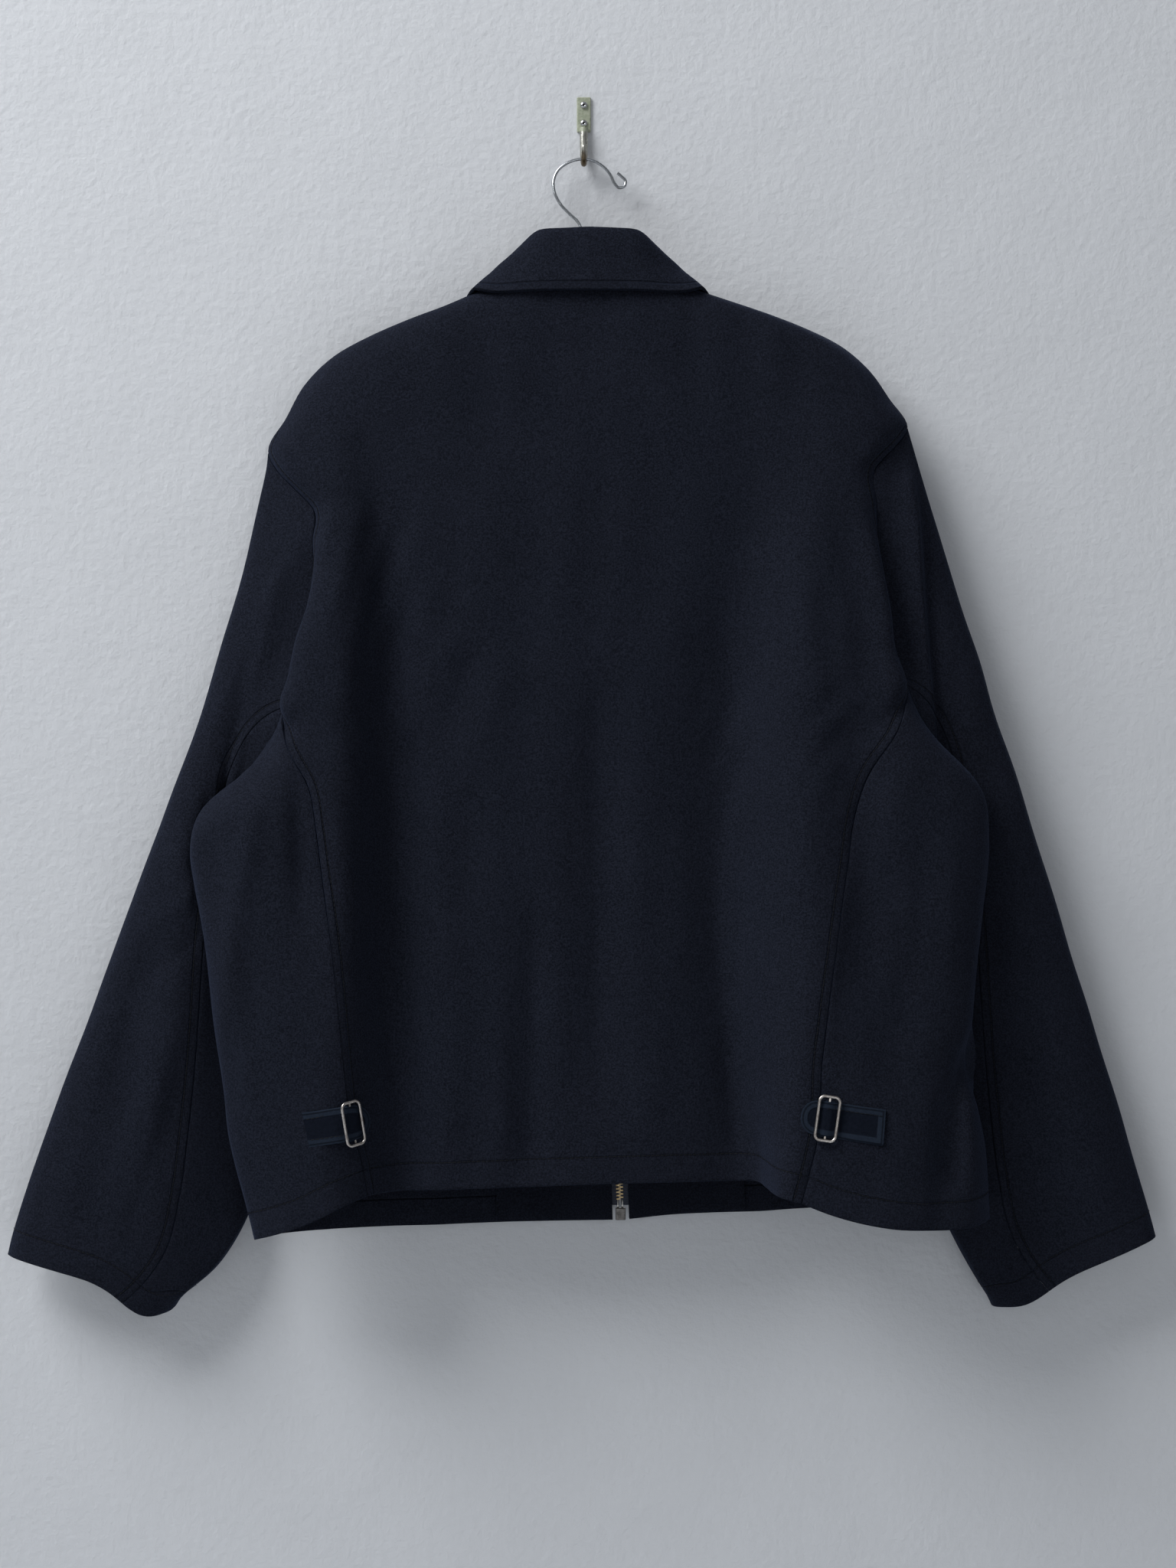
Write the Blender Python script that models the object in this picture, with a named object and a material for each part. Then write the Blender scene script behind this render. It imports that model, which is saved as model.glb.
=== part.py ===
"""A zip-front wool sports jacket on a hanger, hung on a small wall hook with its back to the room.

The wall is the plane y = 0 and the jacket hangs in front of it, towards -Y. Z is up and the origin is the
middle of the hook plate's back face. The tables are in millimetres: x runs to the right as seen from the room,
depth is the distance in front of the wall, and drop is the distance below the origin.
"""

from collections import namedtuple
from math import asin, cos, degrees, exp, hypot, pi, radians, sin, sqrt

import bmesh
import bpy
from mathutils import Matrix, Vector
from mathutils.bvhtree import BVHTree

MM = 0.001

# ---------------------------------------------------------------- driving dimensions, in millimetres

CLOTH = 1.8  # wall of the wool cloth
COLLAR_CLOTH = 2.4  # two layers pressed together
FACING_CLOTH = 1.5
SEAM_GAP = 0.3  # between two pieces that are sewn together
LAY_GAP = 0.3  # between a piece and what it lies on

STAGES = ("neck", "tip", "notch", "junction", "underarm", "hem")
LEFT_DROPS = (136.0, 254.0, 296.0, 441.0, 529.0, 822.0)
RIGHT_DROPS = (136.0, 236.0, 268.0, 425.0, 520.0, 807.0)
NECK, TIP, NOTCH, JUNCTION, UNDERARM, HEM = range(len(STAGES))

EdgeRow = namedtuple("EdgeRow", "drop x depth")
LEFT_EDGE = (  # the outline of the body: shoulder, armhole, fold over the sleeve, side
    EdgeRow(122, -44, 32),
    EdgeRow(136, -76, 30),
    EdgeRow(146, -99, 29),
    EdgeRow(157, -129, 28),
    EdgeRow(169, -157, 28),
    EdgeRow(180, -178, 28),
    EdgeRow(202, -202, 29),
    EdgeRow(225, -215, 30),
    EdgeRow(254, -230, 31),
    EdgeRow(275, -217, 41),
    EdgeRow(296, -196, 50),
    EdgeRow(350, -197, 62),
    EdgeRow(395, -208, 68),
    EdgeRow(441, -218, 71),
    EdgeRow(474, -229, 71),
    EdgeRow(499, -254, 68),
    EdgeRow(514, -275, 66),
    EdgeRow(531, -283, 66),
    EdgeRow(554, -282, 66),
    EdgeRow(609, -272, 68),
    EdgeRow(702, -259, 71),
    EdgeRow(746, -254, 73),
    EdgeRow(790, -243, 75),
    EdgeRow(822, -235, 76),
)
RIGHT_EDGE = (
    EdgeRow(122, 50, 32),
    EdgeRow(136, 82, 30),
    EdgeRow(146, 114, 29),
    EdgeRow(157, 147, 28),
    EdgeRow(169, 175, 28),
    EdgeRow(180, 194, 28),
    EdgeRow(191, 206, 29),
    EdgeRow(213, 222, 30),
    EdgeRow(236, 236, 31),
    EdgeRow(252, 225, 38),
    EdgeRow(268, 211, 46),
    EdgeRow(310, 214, 56),
    EdgeRow(350, 219, 64),
    EdgeRow(405, 227, 69),
    EdgeRow(425, 235, 71),
    EdgeRow(466, 254, 71),
    EdgeRow(499, 285, 67),
    EdgeRow(520, 292, 66),
    EdgeRow(543, 292, 66),
    EdgeRow(592, 288, 67),
    EdgeRow(650, 282, 69),
    EdgeRow(703, 279, 71),
    EdgeRow(722, 283, 71),
    EdgeRow(768, 290, 72),
    EdgeRow(807, 291, 73),
)

DepthRow = namedtuple("DepthRow", "drop back front")
BODY_DEPTH = (
    DepthRow(122, 46, 16),
    DepthRow(140, 49, 15),
    DepthRow(200, 53, 13),
    DepthRow(254, 55, 12),
    DepthRow(300, 57, 11),
    DepthRow(400, 61, 10),
    DepthRow(500, 66, 10),
    DepthRow(600, 71, 10),
    DepthRow(700, 76, 10),
    DepthRow(822, 80, 11),
)
BACK_FULLNESS = 5.0  # how squarely the back turns at its side folds
FRONT_FULLNESS = 3.0

ShelfRow = namedtuple("ShelfRow", "drop foot crest rise")
LEFT_SHELF = (  # the back stands forward beside the centre: where the rise begins and ends, and its height
    ShelfRow(200, -150, -190, 1),
    ShelfRow(254, -148, -187, 7),
    ShelfRow(300, -146, -184, 18),
    ShelfRow(400, -139, -181, 28),
    ShelfRow(500, -135, -180, 32),
    ShelfRow(600, -133, -178, 32),
    ShelfRow(700, -132, -176, 28),
    ShelfRow(822, -133, -176, 23),
)
RIGHT_SHELF = (
    ShelfRow(200, 150, 190, 1),
    ShelfRow(254, 135, 184, 6),
    ShelfRow(300, 128, 178, 14),
    ShelfRow(400, 112, 168, 23),
    ShelfRow(500, 104, 165, 28),
    ShelfRow(600, 104, 164, 30),
    ShelfRow(700, 109, 158, 33),
    ShelfRow(760, 120, 146, 36),
    ShelfRow(807, 126, 140, 38),
)

# A fold runs down a bowed path. A positive rise is a ridge towards the room and a negative one is a trough.
Fold = namedtuple("Fold", "name top low top_x mid_x low_x left_reach right_reach rise head tail")
BACK_FOLDS = (
    Fold("left trough", 215, 860, -152, -133, -130, 26, 15, -11, 160, 0),
    Fold("right trough", 280, 860, 124, 100, 122, 34, 20, -11, 160, 0),
    Fold("centre streak", 380, 770, 8, 11, 12, 20, 34, -5, 140, 80),
    Fold("low centre streak", 560, 800, -40, -38, -46, 16, 26, -4, 80, 40),
    Fold("right soft trough", 250, 745, 184, 199, 224, 18, 22, -9, 120, 90),
    Fold("left side ridge", 470, 700, -224, -238, -248, 12, 16, 5, 60, 60),
    Fold("left seat trough", 420, 640, -196, -188, -200, 16, 14, -5, 70, 80),
    Fold("right low trough", 680, 830, 262, 256, 262, 12, 12, -9, 50, 0),
    Fold("right hem ridge", 700, 860, 206, 214, 226, 30, 26, 5, 60, 0),
)
FRONT_FOLDS = (
    Fold("left front ridge", 330, 860, -120, -112, -104, 32, 26, 5, 180, 0),
    Fold("right front ridge", 330, 860, 132, 128, 124, 26, 32, 5, 180, 0),
    Fold("left chest drag", 250, 520, -150, -128, -88, 22, 22, 4, 60, 120),
    Fold("right chest drag", 250, 520, 160, 140, 100, 22, 22, 4, 60, 120),
)

HemRow = namedtuple("HemRow", "x drop")
BACK_HEM = (  # the lower edge of the back and the side panels
    HemRow(-235, 822),
    HemRow(-197, 809),
    HemRow(-175, 798),
    HemRow(-158, 790),
    HemRow(-34, 784),
    HemRow(76, 781),
    HemRow(126, 781),
    HemRow(134, 786),
    HemRow(153, 791),
    HemRow(183, 802),
    HemRow(227, 810),
    HemRow(266, 812),
    HemRow(291, 807),
)
FRONT_HEM = (
    HemRow(-235, 822),
    HemRow(-182, 821),
    HemRow(-35, 818),
    HemRow(27, 817),
    HemRow(66, 813),
    HemRow(128, 810),
    HemRow(200, 806),
    HemRow(291, 807),
)
HEM_WARP = 120.0  # how far above the hem the cloth settles to these edges

# Turns are degrees round the body: 0 at the centre back, 90 at a side fold, 180 at the centre front.
ArmholeRow = namedtuple("ArmholeRow", "level back front")
ARMHOLE = (
    ArmholeRow(1.0, 90, 90),
    ArmholeRow(1.5, 90, 105),
    ArmholeRow(2.0, 90, 113),
    ArmholeRow(2.4, 100, 123),
    ArmholeRow(2.7, 102, 126),
    ArmholeRow(3.0, 98, 125),
    ArmholeRow(3.5, 103.5, 122),
    ArmholeRow(3.7, 107, 119.5),
    ArmholeRow(3.86, 110.2, 117),
    ArmholeRow(4.0, 112, 112),
)
SeamRow = namedtuple("SeamRow", "level left right")
SIDE_BACK_SEAM = (
    SeamRow(3.0, 98, 98),
    SeamRow(3.12, 88, 86),
    SeamRow(3.53, 56, 50),
    SeamRow(4.12, 42, 39.5),
    SeamRow(4.40, 42, 37.5),
    SeamRow(4.65, 42, 35.5),
    SeamRow(5.0, 44, 28.5),
)
SIDE_FRONT_SEAM = (SeamRow(4.0, 112, 112), SeamRow(4.4, 122, 122), SeamRow(5.0, 126, 126))

CENTRE_FRONT_X = ((222, 3.5), (822, 27.5))  # drop, x: the zip leans a little
FRONT_NECK_FALL = 86.0  # the neckline at the centre front, below the neck point
NECK_RISE = 6.0  # the neckline at the centre back, above the neck point
ZIP_OPENING = 6.0  # each front stops this far from the middle of the zip
FACING_AT_HEM = 92.0  # the width of a facing at the hem
FACING_NECK_TURN = 0.30  # how far round the neckline a facing reaches: 1 at the zip, 0 at the shoulder
FACING_TUCK = (2.0, 1.0)  # it stops this far inside the neckline and above the hem
FACING_ROWS = 20

SleeveRow = namedtuple("SleeveRow", "share outer_x outer_drop inner_x inner_drop depth half")
LEFT_SLEEVE = (  # the outer and inner edge of the flattened tube, its middle's depth and half its thickness
    SleeveRow(0.00, -230, 254, -262, 529, 38, 9),
    SleeveRow(0.12, -241, 318, -262, 535, 33, 14),
    SleeveRow(0.24, -258, 382, -262, 543, 31, 17),
    SleeveRow(0.36, -279, 446, -260, 555, 30, 19),
    SleeveRow(0.48, -303, 510, -256, 575, 30, 21),
    SleeveRow(0.60, -329, 580, -250, 622, 29, 22),
    SleeveRow(0.80, -378, 711, -241, 738, 28, 21),
    SleeveRow(0.92, -405, 786, -246, 822, 28, 20),
    SleeveRow(1.00, -421, 840, -296, 874, 27, 19),
)
RIGHT_SLEEVE = (
    SleeveRow(0.00, 236, 236, 268, 520, 38, 9),
    SleeveRow(0.12, 254, 300, 268, 526, 33, 14),
    SleeveRow(0.24, 274, 364, 268, 534, 31, 17),
    SleeveRow(0.36, 296, 430, 266, 546, 30, 19),
    SleeveRow(0.48, 317, 496, 263, 566, 30, 21),
    SleeveRow(0.60, 338, 562, 258, 612, 29, 22),
    SleeveRow(0.80, 378, 692, 251, 728, 28, 21),
    SleeveRow(0.92, 402, 770, 256, 818, 28, 20),
    SleeveRow(1.00, 418, 827, 299, 876, 27, 19),
)
SLEEVE_TUCK = 9.0  # the inner edge lies this much nearer the wall, behind the body
SLEEVE_ROUND = 0.8  # below 1 the flattened tube has fuller edges
SLEEVE_TURN = 0.48  # the share of its length in which the sleeve turns down from the armhole
SLEEVE_SETTLE_TOP = 0.42  # the share in which it leaves the armhole's own line, outside and inside
SLEEVE_SETTLE_LOW = 0.28
SLEEVE_CLEAR = 3.6  # from the middle of the sleeve's cloth to the middle of the body's
COLLAR_CLEAR = 3.2
SHOULDER_CLEAR = 3.4  # how much more the collar stands off where it turns over the shoulder
LEFT_CUFF_DROOP = 16.0
RIGHT_CUFF_DROOP = 9.0
LEFT_SLEEVE_FOLDS = (
    Fold("roll beside the body", 440, 900, -262, -296, -330, 30, 34, 7, 160, 120),
    Fold("elbow trough", 560, 800, -292, -330, -352, 14, 14, -4, 80, 80),
)
RIGHT_SLEEVE_FOLDS = (
    Fold("trough beside the body", 250, 560, 228, 238, 256, 14, 9, -9, 30, 120),
    Fold("forearm trough", 600, 850, 300, 330, 350, 18, 18, -4, 90, 80),
)

CollarRow = namedtuple("CollarRow", "share roll_x roll_depth roll_drop edge_x edge_depth edge_drop")
COLLAR = (  # the rolled top line and the free edge, from the centre back (0) to the centre front (1)
    CollarRow(0.00, 0, 47.0, 94.5, 0, 55.0, 138.5),
    CollarRow(0.16, 31, 44.5, 95.0, 31, 54.5, 138.7),
    CollarRow(0.28, 45, 38.0, 103.0, 57, 52.0, 139.5),
    CollarRow(0.40, 56, 29.5, 115.0, 82, 43.0, 140.5),
    CollarRow(0.47, 61, 24.0, 124.0, 93, 27.0, 141.0),
    CollarRow(0.58, 62, 16.5, 141.0, 93, 10.5, 168.0),
    CollarRow(0.78, 47, 12.0, 171.0, 77, 7.5, 219.0),
    CollarRow(1.00, 6, 10.0, 198.0, 46, 7.0, 264.0),
)
COLLAR_ROLL = 2.6  # radius of the fold along its top
NECK_CENTRE_X = 3.4
SHOULDER_SHARE = 0.45  # where the shoulder seam meets the collar

StrapRow = namedtuple("StrapRow", "name sewn_x sewn_drop tip_x tip_drop buckle")
STRAPS = (  # buckle is its share of the strap's run from the sewn end
    StrapRow("left", -198, 741, -152, 734, 0.70),
    StrapRow("right", 213, 738, 153, 729, 0.69),
)
STRAP_WIDTH = 25.0
STRAP_CLOTH = 1.6
BUCKLE_LENGTH = 34.0
BUCKLE_WIDTH = 18.5
BUCKLE_BAR = 2.4
BUCKLE_CROSSBAR = 1.4
BUCKLE_CORNER = 3.0
STRAP_BAR_GAP = 0.5  # between the strap and the crossbar under it
STRAP_FRAME_GAP = 0.4  # between the strap and the frame over it

TAPE_CLOTH = 0.8
TAPE_WIDTH = 14.0
TAPE_EDGE = 0.8  # from the middle of the zip to each tape
TAPE_ROWS = 18
ZIP_TOP = 230.0
ZIP_BOX_TOP = 808.0
ZIP_BOX_FOOT = 817.0
ZIP_BOX_WIDTH = 7.5
ZIP_BOX_DEPTH = 3.6
SLIDER_WIDTH = 9.0
SLIDER_LENGTH = 12.0
SLIDER_PLATE = 1.2
SLIDER_POST = (1.0, 4.0, 3.5)  # width, length, and how far above the slider's middle
SLIDER_LUG = (1.2, 2.8, 3.6)  # width, height off the plate, length
SLIDER_LUG_PLACE = (2.6, 1.1, -2.0)  # to the side, off the plate, above the slider's middle
PIN_PLACE = (1.5, 2.0)  # the pin off the plate, and above the slider's middle
PULL_WIDTH = 6.0
PULL_LENGTH = 26.0
PULL_THICK = 1.4
PULL_NECK = (2.8, 11.0, 1.0)  # width, length, and how far it reaches above the pin
PULL_PLATE_START = 8.0  # the tab's wide plate begins this far below the pin

HANGER_CENTRE_DEPTH = 30.0
HANGER_HALF_LENGTH = 192.0
HANGER_HEIGHT = (26.0, 15.0)  # at the neck and at the ends
HANGER_THICK = (12.0, 9.0)
HANGER_CLEAR = 5.0  # under the cloth of the shoulder
HANGER_NECK_DROP = 138.0
HANGER_NECK_REACH = 75.0  # how far out the bar rises or falls to meet the shoulder line
HANGER_STATIONS = 24
HANGER_SIDES = 10
HANGER_END = 0.6  # the share of its section left at the rounded ends
HANGER_END_FALL = 2.0

WIRE_RADIUS = 1.15
WIRE_SIDES = 8
WireRow = namedtuple("WireRow", "x drop")
WIRE = (  # the hanger's wire hook, from the wood to the eye bent at its end
    WireRow(3.4, 137.4),
    WireRow(3.2, 118.0),
    WireRow(1.5, 102.0),
    WireRow(-1.2, 89.5),
    WireRow(-4.5, 82.5),
    WireRow(-10.5, 76.5),
    WireRow(-17.5, 68.5),
    WireRow(-21.5, 60.0),
    WireRow(-22.4, 52.0),
    WireRow(-19.5, 44.0),
    WireRow(-12.5, 38.0),
    WireRow(-4.5, 35.3),
    WireRow(4.5, 35.5),
    WireRow(13.0, 39.5),
    WireRow(19.5, 46.5),
    WireRow(22.6, 53.0),
    WireRow(25.8, 56.4),
    WireRow(29.9, 55.2),
    WireRow(30.8, 51.4),
    WireRow(27.8, 47.9),
    WireRow(24.9, 45.4),
)
WIRE_TOP_DEPTH = 12.0
WIRE_FOOT_DEPTH = 29.0

PLATE_WIDTH = 10.3
PLATE_LENGTH = 26.0
PLATE_THICK = 2.2
SCREW_DROPS = (-7.0, 6.5)
SCREW_HEAD = 2.6  # radius
SCREW_SHANK = 1.4
SCREW_HOLE = 1.7
SCREW_RIM = 0.5  # height of the head's straight edge
SCREW_DOME = 1.3  # height of its round top
SCREW_SIDES = 16
PEG_SIDES = 12
PEG_TIP = (1.2, 0.55)  # how far the rounded tip reaches, and its share of the last radius
PegRow = namedtuple("PegRow", "depth drop radius")
PEG = (  # the hook itself, from the plate down and forward to its tapered tip
    PegRow(3.0, 10.0, 3.0),
    PegRow(3.6, 16.0, 3.0),
    PegRow(4.0, 24.0, 3.0),
    PegRow(4.8, 31.0, 2.8),
    PegRow(7.4, 36.2, 2.4),
    PegRow(12.0, 38.6, 2.05),
    PegRow(16.6, 36.6, 1.9),
    PegRow(19.2, 32.0, 1.7),
    PegRow(20.2, 27.5, 1.5),
)

# How finely each run of cloth is divided.
SHOULDER_ROWS = 7
TIP_ROWS = 3
FOLD_ROWS = 6
UNDERARM_ROWS = 4
SIDE_ROWS = 13
BACK_COLUMNS = 24
FRONT_COLUMNS = 9
SIDE_COLUMNS = 7
FACING_COLUMNS = 4
SLEEVE_TURN_ROWS = 4
SLEEVE_ROWS = 9
EDGE_CROWDING = 1.5  # above 1, columns draw together where a front turns at the shoulder and the side


# ---------------------------------------------------------------- curves and tables


def smooth_curve(pairs):
    """A curve through (position, value) pairs, smooth and never past the values of its two neighbours."""
    at = [pair[0] for pair in pairs]
    value = [pair[1] for pair in pairs]
    steps = [(value[i + 1] - value[i]) / (at[i + 1] - at[i]) for i in range(len(at) - 1)]
    slopes = [steps[0]]
    for before, after in zip(steps, steps[1:]):
        slopes.append(0.0 if before * after <= 0 else 2 * before * after / (before + after))
    slopes.append(steps[-1])

    def read(position):
        position = min(max(position, at[0]), at[-1])
        i = next(i for i in range(len(at) - 1) if position <= at[i + 1])
        width = at[i + 1] - at[i]
        t = (position - at[i]) / width
        start = (1 + 2 * t) * (1 - t) ** 2 * value[i] + t * (1 - t) ** 2 * width * slopes[i]
        return start + t * t * (3 - 2 * t) * value[i + 1] + t * t * (t - 1) * width * slopes[i + 1]

    return read


def column_curve(rows, column):
    """The named column of a table, read smoothly along its first column."""
    return smooth_curve([(row[0], getattr(row, column)) for row in rows])


def blend(start, end, share):
    return start + (end - start) * share


def ease(share):
    """0 to 1 with level ends."""
    share = min(max(share, 0.0), 1.0)
    return share * share * (3 - 2 * share)


LEFT, RIGHT = -1, 1
EDGE_X = {LEFT: column_curve(LEFT_EDGE, "x"), RIGHT: column_curve(RIGHT_EDGE, "x")}
EDGE_DEPTH = {LEFT: column_curve(LEFT_EDGE, "depth"), RIGHT: column_curve(RIGHT_EDGE, "depth")}
STAGE_DROPS = {LEFT: LEFT_DROPS, RIGHT: RIGHT_DROPS}
DEPTH = {"back": column_curve(BODY_DEPTH, "back"), "front": column_curve(BODY_DEPTH, "front")}
SHELF = {
    LEFT: [column_curve(LEFT_SHELF, name) for name in ("foot", "crest", "rise")],
    RIGHT: [column_curve(RIGHT_SHELF, name) for name in ("foot", "crest", "rise")],
}
HEM_DROP = {"back": column_curve(BACK_HEM, "drop"), "front": column_curve(FRONT_HEM, "drop")}
ARMHOLE_TURN = {"back": column_curve(ARMHOLE, "back"), "front": column_curve(ARMHOLE, "front")}
SIDE_BACK_TURN = {
    LEFT: column_curve(SIDE_BACK_SEAM, "left"),
    RIGHT: column_curve(SIDE_BACK_SEAM, "right"),
}
SIDE_FRONT_TURN = {
    LEFT: column_curve(SIDE_FRONT_SEAM, "left"),
    RIGHT: column_curve(SIDE_FRONT_SEAM, "right"),
}
SLEEVE = {
    side: {name: column_curve(rows, name) for name in SleeveRow._fields[1:]}
    for side, rows in ((LEFT, LEFT_SLEEVE), (RIGHT, RIGHT_SLEEVE))
}
SLEEVE_FOLDS = {LEFT: LEFT_SLEEVE_FOLDS, RIGHT: RIGHT_SLEEVE_FOLDS}
CUFF_DROOP = {LEFT: LEFT_CUFF_DROOP, RIGHT: RIGHT_CUFF_DROOP}
COLLAR_LINE = {name: column_curve(COLLAR, name) for name in CollarRow._fields[1:]}
SIDE_NAME = {LEFT: "left", RIGHT: "right"}


def stage_drop(side, level):
    """The drop of the side fold at a level, which counts the stages from 0 at the neck to 5 at the hem."""
    drops = STAGE_DROPS[side]
    stage = min(max(int(level), 0), len(drops) - 2)
    return blend(drops[stage], drops[stage + 1], level - stage)


def level_at(side, drop):
    """The level at which the side fold has a drop."""
    drops = STAGE_DROPS[side]
    stage = max(i for i in range(len(drops) - 1) if i == 0 or drop >= drops[i])
    return stage + (drop - drops[stage]) / (drops[stage + 1] - drops[stage])


def fold_rise(fold, x, drop):
    """How far one fold lifts the cloth at a place."""
    if drop <= fold.top or (fold.tail and drop >= fold.low):
        return 0.0
    t = (drop - fold.top) / (fold.low - fold.top)
    path = (1 - t) * (1 - 2 * t) * fold.top_x + 4 * t * (1 - t) * fold.mid_x + t * (2 * t - 1) * fold.low_x
    away = x - path
    reach = fold.left_reach if away < 0 else fold.right_reach
    strength = ease((drop - fold.top) / fold.head)
    if fold.tail:
        strength *= ease((fold.low - drop) / fold.tail)
    return fold.rise * strength * exp(-((away / reach) ** 2))


# ---------------------------------------------------------------- the body of the jacket


def back_depth(x, drop):
    depth = DEPTH["back"](drop)
    for side in (LEFT, RIGHT):
        foot, crest, rise = (curve(drop) for curve in SHELF[side])
        depth += rise * ease((x - foot) / (crest - foot))
    return depth + sum(fold_rise(fold, x, drop) for fold in BACK_FOLDS)


def front_depth(x, drop):
    return DEPTH["front"](drop) + sum(fold_rise(fold, x, drop) for fold in FRONT_FOLDS)


def hem_line(x):
    """The drop of the lowest level ring at x, before it settles to the real hem."""
    left_x, right_x = LEFT_EDGE[-1].x, RIGHT_EDGE[-1].x
    return blend(LEFT_DROPS[HEM], RIGHT_DROPS[HEM], (x - left_x) / (right_x - left_x))


def body_point(level, turn):
    """A point down the middle of the body's cloth."""
    across = sin(radians(turn))
    share = (1 + across) / 2
    left_drop, right_drop = stage_drop(LEFT, level), stage_drop(RIGHT, level)
    drop = blend(left_drop, right_drop, share)
    x = blend(EDGE_X[LEFT](left_drop), EDGE_X[RIGHT](right_drop), share)
    edge = blend(EDGE_DEPTH[LEFT](left_drop), EDGE_DEPTH[RIGHT](right_drop), share)
    face = "back" if abs(turn) <= 90 else "front"
    settle = ease(1 + (drop - hem_line(x)) / HEM_WARP)
    drop += settle * (HEM_DROP[face](x) - hem_line(x))
    if face == "back":
        depth = edge + (back_depth(x, drop) - edge) * sqrt(max(0.0, 1 - abs(across) ** BACK_FULLNESS))
        drop -= NECK_RISE * (1 - across * across) * ease(1 - level / 0.5)
    else:
        depth = edge - (edge - front_depth(x, drop)) * sqrt(max(0.0, 1 - abs(across) ** FRONT_FULLNESS))
    return Vector((x, -depth, -drop))


def turn_at(level, x, face):
    """The turn, in degrees, at which a level ring passes an x."""
    left_x = EDGE_X[LEFT](stage_drop(LEFT, level))
    right_x = EDGE_X[RIGHT](stage_drop(RIGHT, level))
    across = min(max(2 * (x - left_x) / (right_x - left_x) - 1, -1.0), 1.0)
    turn = degrees(asin(across))
    return turn if face == "back" else (180 if across >= 0 else -180) - turn


def find_on_body(x, drop, face):
    """The level and turn of the body's cloth at an x and a drop, by halving."""
    low, high = 0.0, float(HEM)
    for _ in range(20):
        level = (low + high) / 2
        if -body_point(level, turn_at(level, x, face)).z < drop:
            low = level
        else:
            high = level
    level = (low + high) / 2
    return level, turn_at(level, x, face)


def centre_front_x(drop):
    (top, top_x), (foot, foot_x) = CENTRE_FRONT_X
    return blend(top_x, foot_x, (drop - top) / (foot - top))


def spaced(start, end, count, crowd_start=1.0, crowd_end=1.0):
    """count + 1 values from start to end, drawn together at an end whose crowding is over 1."""
    shares = [i / count for i in range(count + 1)]
    shares = [share**crowd_start for share in shares]
    shares = [1 - (1 - share) ** crowd_end for share in shares]
    return [blend(start, end, share) for share in shares]


def shoulder_levels():
    """Levels that cut the shoulder line into even lengths."""
    fine = [i / 100 for i in range(101)]
    points = [body_point(level, -90) for level in fine]
    lengths = [0.0]
    for before, after in zip(points, points[1:]):
        lengths.append(lengths[-1] + (after - before).length)
    wanted = [lengths[-1] * i / SHOULDER_ROWS for i in range(SHOULDER_ROWS + 1)]
    read = smooth_curve(list(zip(lengths, fine)))
    return [read(length) for length in wanted]


def even_row(row, count, fine_count=100, crowd=1.0):
    """count + 1 points at even distances along a row of the body, given as a function of a share 0 to 1."""
    fine = [row(i / fine_count) for i in range(fine_count + 1)]
    lengths = [0.0]
    for before, after in zip(fine, fine[1:]):
        lengths.append(lengths[-1] + (after - before).length)
    read = smooth_curve([(length, i / fine_count) for i, length in enumerate(lengths)])
    shares = [read(length) for length in spaced(0.0, lengths[-1], count, crowd)]
    return [fine[0], *(row(share) for share in shares[1:-1]), fine[-1]]


UPPER_LEVELS = shoulder_levels() + spaced(TIP, NOTCH, TIP_ROWS)[1:]
UPPER_LEVELS += spaced(NOTCH, JUNCTION, FOLD_ROWS)[1:]
SIDE_BACK_LEVELS = [level_at(LEFT, drop) for drop in spaced(LEFT_DROPS[JUNCTION], LEFT_DROPS[HEM], SIDE_ROWS)]
BACK_LEVELS = UPPER_LEVELS + SIDE_BACK_LEVELS[1:]
UNDERARM_LEVELS = spaced(JUNCTION, UNDERARM, UNDERARM_ROWS)
FRONT_LEVELS = UPPER_LEVELS + UNDERARM_LEVELS[1:] + spaced(UNDERARM, HEM, SIDE_ROWS)[1:]


def back_boundary(side, level):
    """Where the back panel ends: the shoulder line, the armhole and the side back seam."""
    if level <= TIP:
        turn = 90.0
    elif level <= JUNCTION:
        turn = ARMHOLE_TURN["back"](level)
    else:
        turn = SIDE_BACK_TURN[side](level)
    return side * turn


def front_boundary(side, level):
    if level <= TIP:
        turn = 90.0
    elif level <= UNDERARM:
        turn = ARMHOLE_TURN["front"](level)
    else:
        turn = SIDE_FRONT_TURN[side](level)
    return side * turn


def back_rows():
    rows = []
    for level in BACK_LEVELS:
        left, right = back_boundary(LEFT, level), back_boundary(RIGHT, level)
        rows.append(even_row(lambda share: body_point(level, blend(left, right, share)), BACK_COLUMNS))
    return rows


def side_rows(side):
    """A side panel, from the side back seam round the fold to the side front seam."""
    rows = []
    tops = spaced(JUNCTION, UNDERARM, SIDE_COLUMNS)
    rows.append([body_point(level, side * ARMHOLE_TURN["back"](level)) for level in tops])
    front_levels = spaced(UNDERARM, HEM, SIDE_ROWS)
    for back_level, front_level in zip(SIDE_BACK_LEVELS[1:], front_levels[1:]):
        start = side * SIDE_BACK_TURN[side](back_level)
        end = side * SIDE_FRONT_TURN[side](front_level)
        back_drop, front_drop = stage_drop(side, back_level), stage_drop(side, front_level)

        def point(share):
            if share in (0, 1):
                return body_point((back_level, front_level)[int(share)], (start, end)[int(share)])
            return body_point(level_at(side, blend(back_drop, front_drop, share)), blend(start, end, share))

        rows.append(even_row(point, SIDE_COLUMNS))
    return rows


def centre_drop(drop):
    """The drop at the zip that is level with a drop at the side, but for the fall of the neckline."""
    top = LEFT_DROPS[NECK]
    return drop + FRONT_NECK_FALL * (1 - ease((drop - top) / (LEFT_DROPS[UNDERARM] - top)))


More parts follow.
